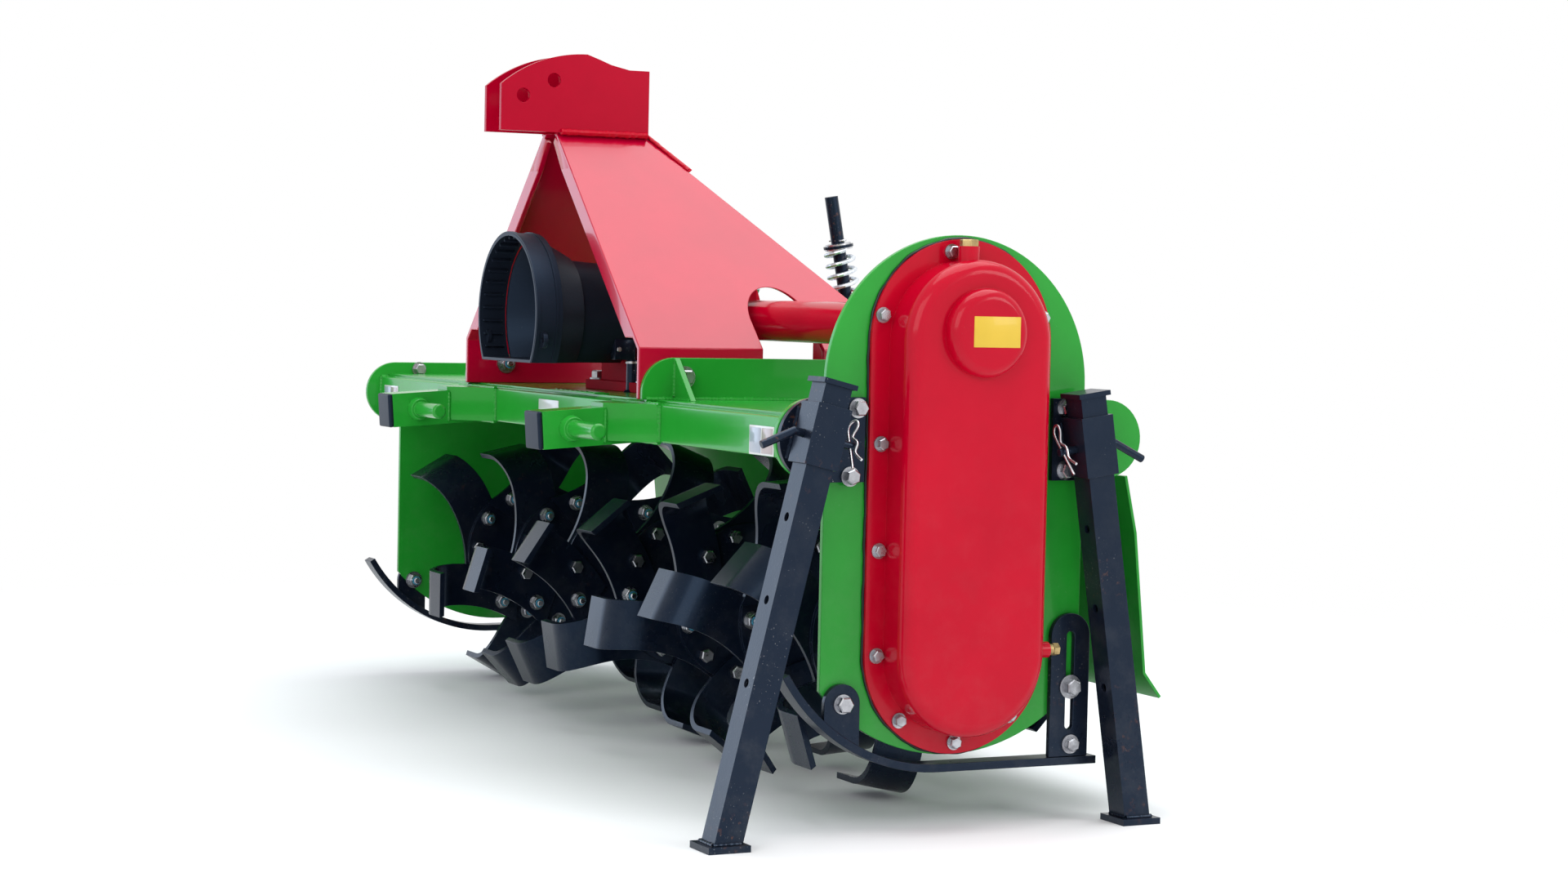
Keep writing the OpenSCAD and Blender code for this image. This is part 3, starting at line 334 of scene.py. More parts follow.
YELLOW = paint_material("yellow_plate", (0.76, 0.5, 0.045), 0.35, 0.0, 0.05, coat=0.2, bump=0.03)
WHITE = paint_material("white_film", (0.74, 0.75, 0.76), 0.2, 0.02, 0.05, coat=0.5, bump=0.05)
FILM_BLUE = paint_material("blue_white_film", (0.42, 0.47, 0.56), 0.15, 0.0, 0.1, coat=0.4, bump=0.05)
FILM_ROSE = paint_material("rose_white_film", (0.47, 0.4, 0.41), 0.15, 0.0, 0.3, coat=0.4, bump=0.05)
INSERT_BLUE = paint_material("nut_insert", (0.05, 0.26, 0.4), 0.4, 0.0, 0.0, coat=0.0, bump=0.02)
ZINC = metal_material("bright_zinc", (0.68, 0.69, 0.71), 0.26)
SPRING_ZINC = metal_material("spring_zinc", (0.84, 0.88, 0.93), 0.36)
BOLT_ZINC = metal_material("bolt_zinc", (0.5, 0.51, 0.54), 0.24)
STEEL = metal_material("machined_steel", (0.45, 0.45, 0.46), 0.3)
BRASS = metal_material("brass_plug", (0.5, 0.37, 0.17), 0.34)

SLOT_LOOK = {
    "green_paint": GREEN,
    "red_paint": RED,
    "black_paint": BLACK,
    "black_plastic": PLASTIC,
    "sealant": SEALANT,
    "brass": BRASS,
    "bright_steel": STEEL,
    "zinc": ZINC,
}
NODE_LOOK = {
    "rotor_shaft": TINE_BLACK,
    "gearbox": CAST_RED,
    "headstock_plate_left": PAINTED_SHEEN_RED,
    "headstock_plate_right": PAINTED_SHEEN_RED,
    "top_link_plates": FLAT_RED,
    "tail_spring": SPRING_ZINC,
}
for part in frame["record"]["subparts"]:
    name = part["node"]
    look = NODE_LOOK.get(name, SLOT_LOOK[part["material_slot"]])
    if name.startswith("tine_gang"):
        look = TINE_BLACK
    piece = nodes[name]
    piece.data.materials.clear()
    piece.data.materials.append(look)


# Edges of the imported pieces: all but the tail spring and the input shaft are broken a little, and tubes
# are rounder

COMMON_EDGE = 1.0
TINE_EDGE = 0.6
EDGE_WIDTHS = {
    3.0: ("front_beam", "rear_beam", "hitch_arm_left", "hitch_arm_right", "arm_caps"),
    1.8: ("headstock_plate_left", "headstock_plate_right"),
    1.2: ("skid_adjusters",),
    0.8: ("deck", "tail_hinges", "chain_cover", "input_guard", "skid_left", "skid_right"),
    0.7: ("tailboard",),
    0.6: ("sealing_bead", "oil_plugs"),
    0.0: ("tail_spring", "input_shaft"),
}
EDGE = {name: width for width, names in EDGE_WIDTHS.items() for name in names}


def break_edges(piece, width, segments=2):
    """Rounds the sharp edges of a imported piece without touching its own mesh."""
    join = piece.modifiers.new("join", "WELD")
    join.merge_threshold = 0.00001
    tidy = piece.modifiers.new("tidy", "DECIMATE")
    tidy.decimate_type = "DISSOLVE"
    tidy.angle_limit = math.radians(0.5)
    soft = piece.modifiers.new("soft", "BEVEL")
    soft.width = width * MM
    soft.segments = segments
    soft.limit_method = "ANGLE"
    soft.angle_limit = math.radians(40)
    shade = piece.modifiers.new("shade", "WEIGHTED_NORMAL")
    shade.weight = 50


for name, piece in nodes.items():
    width = TINE_EDGE if name.startswith("tine_gang") else EDGE.get(name, COMMON_EDGE)
    if width:
        break_edges(piece, width)


# Piece makers


def finish_piece(name, bm, look, body, smooth=0.6):
    """Mesh piece from a bmesh, riding on a body."""
    bmesh.ops.recalc_face_normals(bm, faces=bm.faces[:])
    mesh = bpy.data.meshes.new(name)
    bm.to_mesh(mesh)
    bm.free()
    mesh.materials.append(look)
    if any(face.material_index for face in mesh.polygons):
        mesh.materials.append(INSERT_BLUE)
    piece = bpy.data.objects.new(name, mesh)
    bpy.context.scene.collection.objects.link(piece)
    mesh.shade_smooth()
    mesh.set_sharp_from_angle(angle=smooth)
    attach(piece, body)


def disc(bm, place, axis, radius, height, top=None, sides=28, lift=0.0):
    """Cylinder or cone standing on a drawing place, along an axis."""
    matrix = facing(place, axis) @ Matrix.Translation((0, 0, (lift + height / 2) * MM))
    end = radius if top is None else top
    made = bmesh.ops.create_cone(bm, cap_ends=True, segments=sides, radius1=radius * MM, radius2=end * MM,
                                 depth=height * MM, matrix=matrix)
    return made["verts"]


def capped(bm, place, axis, radius, height, lift, sides, crown, turn=0.0):
    """Prism whose outer end is chamfered to a smaller crown."""
    verts = disc(bm, place, axis, radius, height - crown, sides=sides, lift=lift)
    along = Vector(axis)
    faces = {f for v in verts for f in v.link_faces if len(f.verts) == sides}
    top = max(faces, key=lambda f: f.calc_center_median().dot(along))
    bmesh.ops.inset_individual(bm, faces=[top], thickness=crown * MM, depth=0.0)
    bmesh.ops.translate(bm, vec=along * crown * MM, verts=list(top.verts))
    about = facing(place, axis)
    spin = about @ Matrix.Rotation(turn, 4, "Z") @ about.inverted()
    bmesh.ops.transform(bm, matrix=spin, verts=list(set(verts) | set(top.verts)))


def hex_bolt(bm, place, axis, flats, washer=0.0, turn=0.0):
    """Hex head with a chamfered crown, on a washer if it has one."""
    lift = 0.0
    if washer:
        disc(bm, place, axis, washer, 2.2)
        lift = 2.0
    capped(bm, place, axis, flats / math.sqrt(3), flats * 0.62, lift, 6, flats * 0.09, turn)


def lock_nut(bm, place, axis, flats, washer=0.0, turn=0.0):
    """Nut with its round locking collar, its plastic insert and the bolt's end."""
    lift = 0.0
    if washer:
        disc(bm, place, axis, washer, 2.2)
        lift = 2.0
    capped(bm, place, axis, flats / math.sqrt(3), flats * 0.52, lift, 6, flats * 0.06, turn)
    disc(bm, place, axis, flats * 0.46, flats * 0.24, flats * 0.42, lift=lift + flats * 0.48, sides=20)
    insert = disc(bm, place, axis, flats * 0.39, flats * 0.06, sides=20, lift=lift + flats * 0.69)
    for face in {f for v in insert for f in v.link_faces}:
        face.material_index = 1
    capped(bm, place, axis, flats * 0.29, flats * 1.02, lift, 14, flats * 0.07)


def join_in(bm, extra):
    """Adds a finished small shape to the mesh of its piece."""
    carrier = bpy.data.meshes.new("carrier")
    extra.to_mesh(carrier)
    extra.free()
    bm.from_mesh(carrier)
    bpy.data.meshes.remove(carrier)


def weld_bead(bm, start, end, radius=3.2, pitch=2.6):
    """Rippled run of weld along a seam."""
    first, last = Vector(start), Vector(end)
    run = last - first
    bead = bmesh.new()
    bmesh.ops.create_cone(bead, cap_ends=True, segments=8, radius1=radius, radius2=radius,
                          depth=run.length)
    sides = [e for e in bead.edges if abs(e.verts[0].co.z - e.verts[1].co.z) > 0.5 * run.length]
    cuts = max(3, int(2 * run.length / pitch))
    bmesh.ops.subdivide_edges(bead, edges=sides, cuts=cuts, use_grid_fill=True)
    for v in bead.verts:
        ripple = 0.84 + 0.2 * abs(math.sin(v.co.z * math.pi / (2 * pitch)))
        wander = 1.0 + 0.08 * math.sin(v.co.z * 0.21) + 0.05 * math.sin(v.co.z * 0.57)
        v.co.x *= ripple * wander
        v.co.y *= ripple * wander
    turn = Vector((0, 0, 1)).rotation_difference(run).to_matrix().to_4x4()
    place = Matrix.Translation(spot(*(first + run / 2))) @ turn @ Matrix.Scale(MM, 4)
    bmesh.ops.transform(bead, matrix=place, verts=bead.verts)
    join_in(bm, bead)


def weld_loop(bm, corners, radius=3.2, pitch=2.6):
    """Welds round a closed row of corners."""
    for first, last in zip(corners, corners[1:] + corners[:1]):
        weld_bead(bm, first, last, radius, pitch)


def wire_piece(name, points, radius, look, body, closed=False):
    """Round wire bent along a smooth path of drawing places."""
    curve = bpy.data.curves.new(name, "CURVE")
    curve.dimensions = "3D"
    curve.bevel_depth = radius * MM
    curve.bevel_resolution = 3
    curve.use_fill_caps = True
    spline = curve.splines.new("NURBS")
    spline.points.add(len(points) - 1)
    for target, point in zip(spline.points, points):
        target.co = (*spot(*point), 1.0)
    spline.use_endpoint_u = True
    spline.use_cyclic_u = closed
    spline.order_u = 4
    spline.resolution_u = 6
    curve.materials.append(look)
    piece = bpy.data.objects.new(name, curve)
    bpy.context.scene.collection.objects.link(piece)
    mesh = bpy.data.meshes.new_from_object(piece.evaluated_get(bpy.context.evaluated_depsgraph_get()))
    bpy.data.objects.remove(piece)
    piece = bpy.data.objects.new(name, mesh)
    bpy.context.scene.collection.objects.link(piece)
    mesh.shade_smooth()
    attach(piece, body)


def soften(bm, edges, width, segments=2):
    """Bevels edges by a width in the mesh's own unit."""
    bmesh.ops.bevel(bm, geom=edges, offset=width, affect="EDGES", segments=segments, profile=0.5,
                    material=-1)


def plate_block(bm, low, high, round_off=1.2):
    """Box between two drawing places with bevelled edges."""
    centre = (Vector(low) + Vector(high)) / 2
    size = Vector(high) - Vector(low)
    matrix = Matrix.Translation(spot(*centre)) @ Matrix.Diagonal((*(size * MM), 1.0))
    made = bmesh.ops.create_cube(bm, size=1.0, matrix=matrix)
    edges = list({e for v in made["verts"] for e in v.link_edges})
    soften(bm, edges, round_off * MM)


# Chain case

OUT = (1, 0, 0)
UP = (0, 0, 1)
bm = bmesh.new()
flange_bolts = [(-19, 705.4), (0, 106)]
for y, z in ((111, 627), (110, 472), (110, 343), (110, 216), (77, 136)):
    flange_bolts += [(-y, z), (y, z)]
for i, (y, z) in enumerate(flange_bolts):
    hex_bolt(bm, (COVER_FACE, y, z), OUT, 13, washer=9.5, turn=i * 0.37)
finish_piece("cover_bolts", bm, BOLT_ZINC, "frame")

bm = bmesh.new()
plate_block(bm, (COVER_FRONT - 1, -26, 591), (COVER_FRONT, 38, 628), 0.4)
finish_piece("oil_plate", bm, YELLOW, "frame")

bm = bmesh.new()
capped(bm, (COVER_NECK_X, -8, 712), UP, 11.5, 8.2, 0.0, 6, 1.0, 0.3)
hex_bolt(bm, (COVER_NECK_X, 123, 219), (0, 1, 0), 14, turn=0.2)
finish_piece("oil_plug_heads", bm, BRASS, "frame")

# Brackets, skids and headstock bolts

bm = bmesh.new()
for i, (y, z) in enumerate(((-142, 515), (-151, 433), (148, 516), (149, 439))):
    hex_bolt(bm, (BRACKET_FACE, y, z), OUT, 17, washer=12, turn=i * 0.4)
    lock_nut(bm, (SIDE_INNER, y, z), (-1, 0, 0), 18, washer=14, turn=i * 0.5)
finish_piece("stand_bolts", bm, BOLT_ZINC, "frame")

bm = bmesh.new()
for side in (1, -1):
    for i, (y, z, washer) in enumerate(((-154, 159, 12), (165, 168, 15))):
        hex_bolt(bm, (side * BRACKET_FACE, y, z), (side, 0, 0), 18, washer=washer, turn=i * 0.6)
        lock_nut(bm, (side * SIDE_INNER, y, z), (-side, 0, 0), 18, washer=14, turn=i * 0.5)
    hex_bolt(bm, (side * BRACKET_FACE, 167, 96), (side, 0, 0), 15, washer=12, turn=0.4)
finish_piece("skid_bolts", bm, BOLT_ZINC, "frame")

HEAD_BOLT_Z = 537.0
bm = bmesh.new()
for side in (1, -1):
    for i, y in enumerate((-166, 166)):
        hex_bolt(bm, (side * HEAD_OUTER, y, HEAD_BOLT_Z), (side, 0, 0), 19, washer=15, turn=i * 0.7)
        lock_nut(bm, (side * HEAD_INNER, y, HEAD_BOLT_Z), (-side, 0, 0), 19, washer=15, turn=i * 0.3)
finish_piece("headstock_bolts", bm, BOLT_ZINC, "frame")

BEARING_BOLT_R = 54.0
bm = bmesh.new()
for a in range(4):
    y = BEARING_BOLT_R * math.cos(math.radians(45 + 90 * a))
    z = ROTOR_Z + BEARING_BOLT_R * math.sin(math.radians(45 + 90 * a))
    hex_bolt(bm, (-SIDE_FACE - 9, y, z), (-1, 0, 0), 16, washer=12, turn=a * 0.4)
hex_bolt(bm, (-777, -153, 515), (1, 0, 0), 16, washer=12)
finish_piece("bearing_bolts", bm, BOLT_ZINC, "frame")

# Gearbox and drive tube bolts

TUBE_BOLT_R = 45.0
LID_BOLT_R = 52.0
bm = bmesh.new()
for a in range(6):
    c = math.cos(math.radians(60 * a))
    s = math.sin(math.radians(60 * a))
    tube_y, tube_z = TUBE_BOLT_R * c, DRIVE_Z + TUBE_BOLT_R * s
    lid, lid_z = LID_BOLT_R * c, DRIVE_Z + LID_BOLT_R * s
    hex_bolt(bm, (95, tube_y, tube_z), OUT, 13, washer=9, turn=a * 0.3)
    hex_bolt(bm, (775, tube_y, tube_z), (-1, 0, 0), 13, washer=9, turn=a * 0.5)
    hex_bolt(bm, (-85, lid, lid_z), (-1, 0, 0), 13, washer=9, turn=a * 0.2)
    hex_bolt(bm, (lid, 82, lid_z), (0, 1, 0), 13, washer=9, turn=a * 0.7)
for x in (-86, 86):
    for y in (-112, 66):
        hex_bolt(bm, (x, y, DECK_TOP + 14), UP, 18, washer=13, turn=x + y)
finish_piece("gearbox_bolts", bm, BOLT_ZINC, "frame")

# Tine bolts


def tine_place(gang, k, lead, out, x):
    """Drawing place on a tine: degrees ahead of its foot, a radius and a way from the disc's middle."""
    a = math.radians(FIRST_TURN + gang * SCROLL + 60 * k + lead)
    return ((gang - (GANGS - 1) / 2) * GANG_PITCH + x, -out * math.sin(a), ROTOR_Z + out * math.cos(a))


for gang in range(GANGS):
    bm = bmesh.new()
    for k in range(6):
        right, left = (11, -4) if k % 2 == 0 else (4, -11)
        for i, lead in enumerate((25, 55)):
            nut_side = 1 if (i + k) % 2 else -1
            nut_x, head_x = (right, left) if nut_side > 0 else (left, right)
            nut_place = tine_place(gang, k, lead, BOLT_CIRCLE, nut_x)
            head_place = tine_place(gang, k, lead, BOLT_CIRCLE, head_x)
            lock_nut(bm, nut_place, (nut_side, 0, 0), 17, washer=12, turn=k * 0.6 + i)
            hex_bolt(bm, head_place, (-nut_side, 0, 0), 17, turn=k * 0.4 + i)
    finish_piece(f"tine_bolts_{gang + 1}", bm, BOLT_ZINC, "rotor")

# Welds

KNEE_HALF = 79.0
bm = bmesh.new()
for arm in (ARM_X, -ARM_X):
    for side in (1, -1):
        edge = arm + side * KNEE_HALF
        seam = arm + side * 25
        weld_bead(bm, (edge, BEAM_FRONT, BEAM_LOW + 1), (edge, BEAM_FRONT, BEAM_HIGH - 1))
        weld_bead(bm, (seam, -274, 450), (seam, -274, 494), 2.6)
    for z in (BEAM_HIGH, BEAM_LOW):
        weld_bead(bm, (arm - KNEE_HALF, BEAM_FRONT, z), (arm + KNEE_HALF, BEAM_FRONT, z))
for side in (1, -1):
    x = side * 776.5
    for y in (-194, 221):
        front, rear = y - 25, y + 25
        corners = [(x, front, BEAM_LOW), (x, front, BEAM_HIGH), (x, rear, BEAM_HIGH), (x, rear, BEAM_LOW)]
        weld_loop(bm, corners, 3.0)
    foot = side * HEAD_OUTER
    deck_z = DECK_TOP + 0.5
    weld_bead(bm, (foot, -222, deck_z), (foot, 242, deck_z), 3.4)
    weld_bead(bm, (foot, -181, 512), (foot, -181, 556), 2.6)
    weld_bead(bm, (side * 346, -181, deck_z), (side * 398, -181, deck_z), 2.6)
weld_bead(bm, (-770, -206, BEAM_HIGH), (770, -206, BEAM_HIGH), 1.9, 2.4)
finish_piece("frame_welds", bm, GREEN, "frame")

bm = bmesh.new()
for side in (1, -1):
    foot = side * (HEAD_TOP_X + PLATE + 1)
    weld_z = HEAD_TOP_Z + 1
    weld_bead(bm, (foot, -226, weld_z), (foot, -94, weld_z), 4.6, 5.0)
    weld_bead(bm, (side * 29, -91, weld_z), (side * 76, -46, 826), 2.8, 7.0)
finish_piece("headstock_welds", bm, RED, "frame")

# Upper ends of the folds along the headstock plates' front edges

HEAD_RUN = (HEAD_FOOT_X - HEAD_TOP_X) / (HEAD_TOP_Z - HEAD_BEND_Z)
FOLD_FRONT, FOLD_BACK = -229.15, -220.85
FOLD_EDGE = 1.8
FOLD_CORNERS = ((3, 820), (3, 871), (19, 860), (25.9, 819))


def under_plate(depth, z):
    """Place across the machine, at a depth below the leaning plate's outer face."""
    return HEAD_FOOT_X - depth * math.hypot(1.0, HEAD_RUN) - (z - HEAD_BEND_Z) * HEAD_RUN


bm = bmesh.new()
for side in (1, -1):
    outline = [(side * under_plate(depth, z), z) for depth, z in FOLD_CORNERS]
    front = [bm.verts.new(spot(x, FOLD_FRONT, z)) for x, z in outline]
    back = [bm.verts.new(spot(x, FOLD_BACK, z)) for x, z in outline]
    ring = [bm.faces.new(front), bm.faces.new(back[::-1])]
    for i in range(4):
        ring.append(bm.faces.new((front[i - 1], back[i - 1], back[i], front[i])))
    edges = list({e for f in ring for e in f.edges})
    soften(bm, edges, FOLD_EDGE * MM)
finish_piece("headstock_fold_ends", bm, PAINTED_SHEEN_RED, "frame")

# Parking legs: welds and clips

FRONT_FOOT, FRONT_LEAN = -328.0, math.radians(13.8)
REAR_FOOT, REAR_LEAN = 237.0, math.radians(-8.7)
LEG_X = 836.0
# Label, foot, lean, height of the pin, side of the clip and turn of the clip
LEGS = (
    ("front", FRONT_FOOT, FRONT_LEAN, 495.9, 1, 38.0),
    ("rear", REAR_FOOT, REAR_LEAN, 475.0, -1, 0.0),
)
SLEEVE_WELD_X = -34.5
CLIP_PATH = (
    (-34, 0), (-20, 0), (-6, 0), (10, 0), (20, 0), (27, 1), (32, 6), (33, 12), (28, 16), (21, 14),
    (16, 8), (11, 4.5), (7, 6), (2, 10.5), (-3, 10.5), (-8, 7), (-13, 5.5), (-19, 8), (-27, 13),
)


def on_leg(foot, lean, x, y, z):
    """Drawing place from a leg's own frame: across, along the machine and up the leg."""
    along = foot + y * math.cos(lean) + z * math.sin(lean)
    return (LEG_X + x, along, z * math.cos(lean) - y * math.sin(lean))


for label, foot, lean, pin, way, spread in LEGS:
    bm = bmesh.new()
    corners = [(-18, -18), (18, -18), (18, 18), (-18, 18)]
    weld_loop(bm, [on_leg(foot, 0.0, x, y, 9) for x, y in corners], 2.6, 3.4)
    finish_piece(f"foot_weld_{label}", bm, BLACK, f"{label}_leg")
    bm = bmesh.new()
    for y in (-18.5, 18.5):
        low, high = (on_leg(foot, lean, SLEEVE_WELD_X, y, pin + way_up) for way_up in (-32, 32))
        weld_bead(bm, low, high, 3.0, 3.4)
    for z in (pin - 31, pin + 35):
        near, far = (on_leg(foot, lean, SLEEVE_WELD_X, y, z) for y in (-18, 18))
        weld_bead(bm, near, far, 3.0, 3.4)
    finish_piece(f"sleeve_weld_{label}", bm, BLACK, "frame")
    hole = Vector(on_leg(foot, lean, 0, way * 41, pin))
    run = Vector((-0.62, math.sin(lean) * 0.78, math.cos(lean) * 0.78)).normalized()
    side = Matrix.Rotation(math.radians(spread), 3, run) @ Vector((run.z, 0, -run.x)).normalized()
    points = [hole + run * s + side * t for s, t in CLIP_PATH]
    wire_piece(f"clip_{label}", points, 1.7, ZINC, "frame")

# Tailboard rod: washers and split pin

ROD_LUG, ROD_LEAN = (310.0, 330.0), math.radians(10.6)


def on_rod(x, y, h):
    """Drawing place from the rod's own frame."""
    return (x, ROD_LUG[0] - h * math.sin(ROD_LEAN) + y * math.cos(ROD_LEAN),
            ROD_LUG[1] + h * math.cos(ROD_LEAN) + y * math.sin(ROD_LEAN))


ROD_AXIS = (0, -math.sin(ROD_LEAN), math.cos(ROD_LEAN))
bm = bmesh.new()
disc(bm, on_rod(0, 0, 397.2), ROD_AXIS, 21, 2.4)
disc(bm, on_rod(0, 0, 404.0), ROD_AXIS, 19, 2.4)
finish_piece("rod_washers", bm, ZINC, "rod")
SPLIT_PATH = (
    (-17, 1.6), (-4, 1.6), (10, 1.6), (15, 3.5), (20, 4.5), (23, 0), (20, -4.5), (15, -3.5), (10, -1.6),
    (-4, -1.6), (-13, -1.6), (-18, -4.5),
)
wire_piece("rod_split_pin", [on_rod(x, y, 411) for x, y in SPLIT_PATH], 1.5, ZINC, "rod")

# Deck: blank plate and driveline rest

REST_X, REST_Y = 62.0, -122.0
bm = bmesh.new()
plate_block(bm, (-23, -214, DECK_TOP - 0.2), (147, -191, DECK_TOP + 1.6), 0.6)
for i in range(9):
    plate_block(bm, (-14 + 18 * i, -209, DECK_TOP + 1.4), (-3 + 18 * i, -196, DECK_TOP + 2.3), 0.3)
finish_piece("deck_plate", bm, GREEN, "frame")

bm = bmesh.new()
disc(bm, (REST_X, REST_Y, DECK_TOP - 0.5), UP, 8, 47, sides=24)
disc(bm, (REST_X, REST_Y, DECK_TOP - 0.5), UP, 13, 4, 9, sides=24)
plate_block(bm, (54, -152, 553), (70, -120, 583), 1.5)
finish_piece("driveline_rest", bm, BLACK, "frame")
bm = bmesh.new()
disc(bm, (70, -145, 568), OUT, 3.6, 1.0, 2.8, sides=18)
disc(bm, (REST_X, REST_Y, 548), UP, 9.4, 3.0, sides=24)
finish_piece("driveline_rest_collar", bm, ZINC, "frame")

# Driveline guard: ribs inside its mouth and raised rings outside

GUARD_Y = -290.0
GUARD_R = 116.0
GUARD_FLAT = 66.0
GUARD_PLACE = Matrix.Translation(spot(0, GUARD_Y, DRIVE_Z))
RIBS = 36
RIB_LOW, RIB_HIGH = Vector((-1.4, 5, 107.5)), Vector((1.4, 34, 112.6))
RIB_MIDDLE_R = 110.0
bm = bmesh.new()
for i in range(RIBS):
    a = math.radians(360 / RIBS * i + 5)
    if math.cos(a) * RIB_MIDDLE_R < 8 - GUARD_FLAT:
        continue
    rib = bmesh.new()
    bmesh.ops.create_cube(rib, size=1.0)
    form = Matrix.Translation((RIB_HIGH + RIB_LOW) / 2) @ Matrix.Diagonal((*(RIB_HIGH - RIB_LOW), 1.0))
    bmesh.ops.transform(rib, matrix=form, verts=rib.verts)
    soften(rib, rib.edges[:], 0.7, 1)
    place = GUARD_PLACE @ Matrix.Rotation(a, 4, "Y") @ Matrix.Scale(MM, 4)
    bmesh.ops.transform(rib, matrix=place, verts=rib.verts)
    join_in(bm, rib)
finish_piece("guard_ribs", bm, PLASTIC, "frame")


def guard_ring(bm, depth, radius, height, width):
    """Raised ring round the guard, open where the guard is flat below."""
    stop = math.acos(-(GUARD_FLAT - 1.5) / radius)
    ring = bmesh.new()
    rear, low, high = depth + width, radius - 1, radius + height
    corners = [(depth, low), (rear, low), (rear, high), (depth, high)]
    verts = [ring.verts.new((0, y, r)) for y, r in corners]
    face = ring.faces.new(verts)
    start = Matrix.Rotation(-stop, 4, "Y")
    bmesh.ops.transform(ring, matrix=start, verts=ring.verts)
    geom = [face] + ring.edges[:] + ring.verts[:]
    bmesh.ops.spin(ring, geom=geom, cent=(0, 0, 0), axis=(0, 1, 0), dvec=(0, 0, 0), angle=2 * stop,
                   steps=72, use_merge=False, use_duplicate=False)
    bmesh.ops.transform(ring, matrix=GUARD_PLACE @ Matrix.Scale(MM, 4), verts=ring.verts)
    join_in(bm, ring)


bm = bmesh.new()
guard_ring(bm, 0.5, GUARD_R, 2.2, 5)
guard_ring(bm, 30, GUARD_R, 1.6, 3)
finish_piece("guard_rings", bm, PLASTIC, "frame")

# Sealant squeezed out round the chain cover

SEAL_R = 125.4
SEAL_STEPS = 150
straight = COVER_TOP_Z - ROTOR_Z
arc = math.pi * SEAL_R
path = []
for i in range(SEAL_STEPS):
    at = i / SEAL_STEPS * 2 * (straight + arc)
    radius = SEAL_R + (0.7 * math.sin(i * 2.3) + 0.6 * math.sin(i * 0.9 + 1.1))
    if at < straight:
        point = (radius, ROTOR_Z + at)
    elif at < straight + arc:
        a = (at - straight) / SEAL_R
        point = (radius * math.cos(a), COVER_TOP_Z + radius * math.sin(a))
    elif at < 2 * straight + arc:
        point = (-radius, COVER_TOP_Z - (at - straight - arc))
    else:
        a = math.pi + (at - 2 * straight - arc) / SEAL_R
        point = (radius * math.cos(a), ROTOR_Z + radius * math.sin(a))
    path.append((SIDE_FACE + 1.6, *point))
wire_piece("sealant_squeeze", path, 2.0, SEALANT, "frame", closed=True)

# Trim

FILM_BACK, FILM_FRONT = -218.9, -220.2
FILM_WIDTH = 69.0
FILM_LEFTS = (664.0, -755.0)
bm = bmesh.new()
for x in FILM_LEFTS:
    plate_block(bm, (x, FILM_FRONT, 453), (x + FILM_WIDTH, FILM_BACK, 489), 0.4)
plate_block(bm, (-50, -219.8, 478), (27, FILM_BACK, 493), 0.3)
finish_piece("blank_films", bm, WHITE, "frame")
for label, look, shift in (("left", FILM_BLUE, 0), ("right", FILM_ROSE, 33.5)):
    bm = bmesh.new()
    for x in FILM_LEFTS:
        first = x + 2.5 + shift
        plate_block(bm, (first, -220.8, 455.5), (first + 30.5, -220.0, 486.5), 0.3)
    finish_piece(f"reflector_{label}", bm, look, "frame")

# Stage

floor_bm = bmesh.new()
bmesh.ops.create_grid(floor_bm, x_segments=1, y_segments=1, size=40.0)
floor_mesh = bpy.data.meshes.new("floor")
floor_bm.to_mesh(floor_mesh)
floor_bm.free()
floor = bpy.data.objects.new("floor", floor_mesh)
bpy.context.scene.collection.objects.link(floor)
floor_look, floor_tree, floor_shader = new_material("pale_floor")
floor_shader.inputs["Base Color"].default_value = (0.94, 0.94, 0.94, 1)
floor_shader.inputs["Roughness"].default_value = 0.9
floor_shader.inputs["Specular IOR Level"].default_value = 0.0
floor_mesh.materials.append(floor_look)
floor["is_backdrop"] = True

world = bpy.data.worlds.new("studio")
bpy.context.scene.world = world
world.use_nodes = True
sky = world.node_tree.nodes["Background"]
sky.inputs["Color"].default_value = (0.93, 0.96, 1.0, 1)
sky.inputs["Strength"].default_value = 0.75


def seen_rays(tree):
    """1 for the rays of the camera, of reflections and of clear glass."""
    path = add_node(tree, "ShaderNodeLightPath")
    near = maths(tree, "MAXIMUM", path.outputs["Is Camera Ray"], path.outputs["Is Glossy Ray"])
    return maths(tree, "MAXIMUM", near, path.outputs["Is Transmission Ray"])


backdrop = add_node(world.node_tree, "ShaderNodeBackground", {"Color": (1, 1, 1, 1), "Strength": 1.0})
pick = add_node(world.node_tree, "ShaderNodeMixShader")
world.node_tree.links.new(seen_rays(world.node_tree), pick.inputs[0])
world.node_tree.links.new(sky.outputs[0], pick.inputs[1])
world.node_tree.links.new(backdrop.outputs[0], pick.inputs[2])
world.node_tree.links.new(pick.outputs[0], world.node_tree.nodes["World Output"].inputs["Surface"])

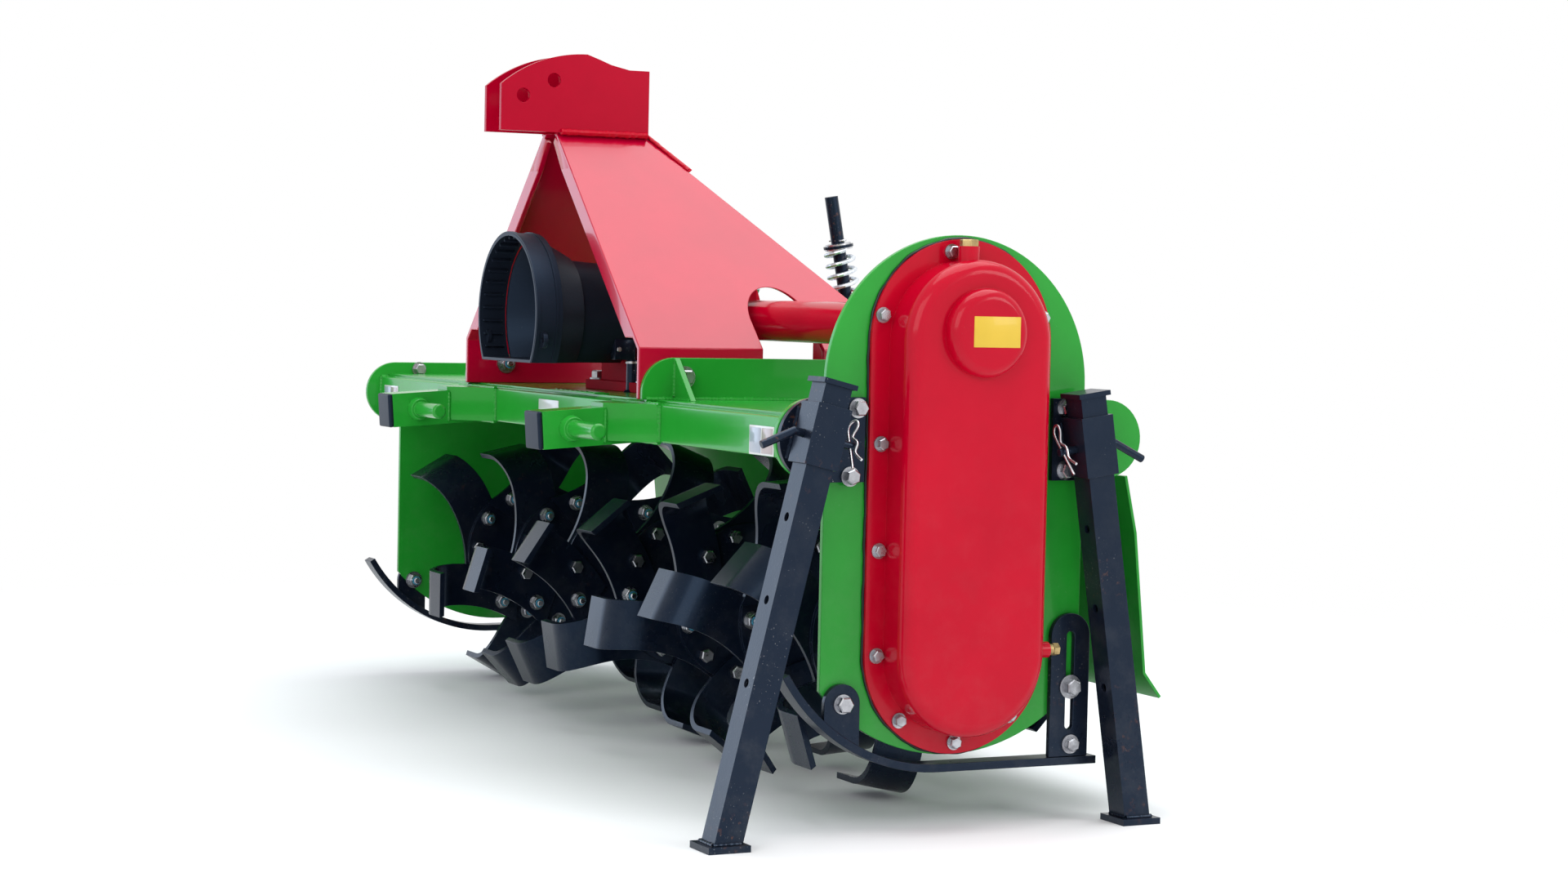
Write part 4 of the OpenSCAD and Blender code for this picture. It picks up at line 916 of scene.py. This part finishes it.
# The floor turns to the backdrop's white away from the machine, and keeps the shadow near it
spread = add_node(floor_tree, "ShaderNodeVectorMath", operation="LENGTH")
floor_tree.links.new(add_node(floor_tree, "ShaderNodeTexCoord").outputs["Object"], spread.inputs[0])
fade = ramp(floor_tree, spread.outputs["Value"], 1.0, 2.4)
white = add_node(floor_tree, "ShaderNodeEmission", {"Color": (1, 1, 1, 1), "Strength": 1.0})
blend = add_node(floor_tree, "ShaderNodeMixShader")
floor_tree.links.new(maths(floor_tree, "MULTIPLY", fade, seen_rays(floor_tree)), blend.inputs[0])
floor_tree.links.new(floor_shader.outputs[0], blend.inputs[1])
floor_tree.links.new(white.outputs[0], blend.inputs[2])
floor_tree.links.new(blend.outputs[0], floor_tree.nodes["Material Output"].inputs["Surface"])


def soft_light(name, place, aim, size, power, colour):
    """Square panel lamp aimed at a place, out of the camera's sight."""
    data = bpy.data.lights.new(name, "AREA")
    data.shape = "SQUARE"
    data.size = size
    data.energy = power
    data.color = colour
    lamp = bpy.data.objects.new(name, data)
    lamp.visible_camera = False
    lamp.location = place
    lamp.rotation_mode = "QUATERNION"
    lamp.rotation_quaternion = (Vector(aim) - Vector(place)).to_track_quat("-Z", "Y")
    bpy.context.scene.collection.objects.link(lamp)


soft_light("overhead", (0.4, 0.6, 4.5), (0, 0, 0.4), 4.0, 150, (0.95, 0.98, 1.0))
soft_light("key", (3.5, -3.5, 2.8), (0, 0, 0.5), 3.2, 72, (1.0, 0.98, 0.95))
soft_light("side", (4.0, 2.5, 2.0), (0.5, 0, 0.5), 1.6, 35, (1.0, 1.0, 1.0))
soft_light("sky_glow", (-4.6, -2.9, 1.3), (0.6, -0.2, 0.4), 2.6, 34, (0.56, 0.75, 1.0))

# Camera at the photograph's place

CAMERA_PLACE = (3903.9, -1757.5, 638.7)
AZIMUTH, PITCH, ROLL = (math.radians(v) for v in (63.93, 2.70, 1.23))
level = Vector((-math.sin(AZIMUTH), math.cos(AZIMUTH), 0.0))
forward = level * math.cos(PITCH) - Vector((0, 0, math.sin(PITCH)))
right = Vector((math.cos(AZIMUTH), math.sin(AZIMUTH), 0.0))
up = right.cross(forward)
right, up = right * math.cos(ROLL) + up * math.sin(ROLL), up * math.cos(ROLL) - right * math.sin(ROLL)
camera_data = bpy.data.cameras.new("camera")
camera_data.lens = 67.095
camera_data.sensor_width = 36.0
camera = bpy.data.objects.new("camera", camera_data)
turn = Matrix((right, up, -forward)).transposed().to_4x4()
camera.matrix_world = Matrix.Translation(spot(*CAMERA_PLACE)) @ turn
bpy.context.scene.collection.objects.link(camera)
bpy.context.scene.camera = camera
bpy.context.scene.view_settings.view_transform = "Standard"

low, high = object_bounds()
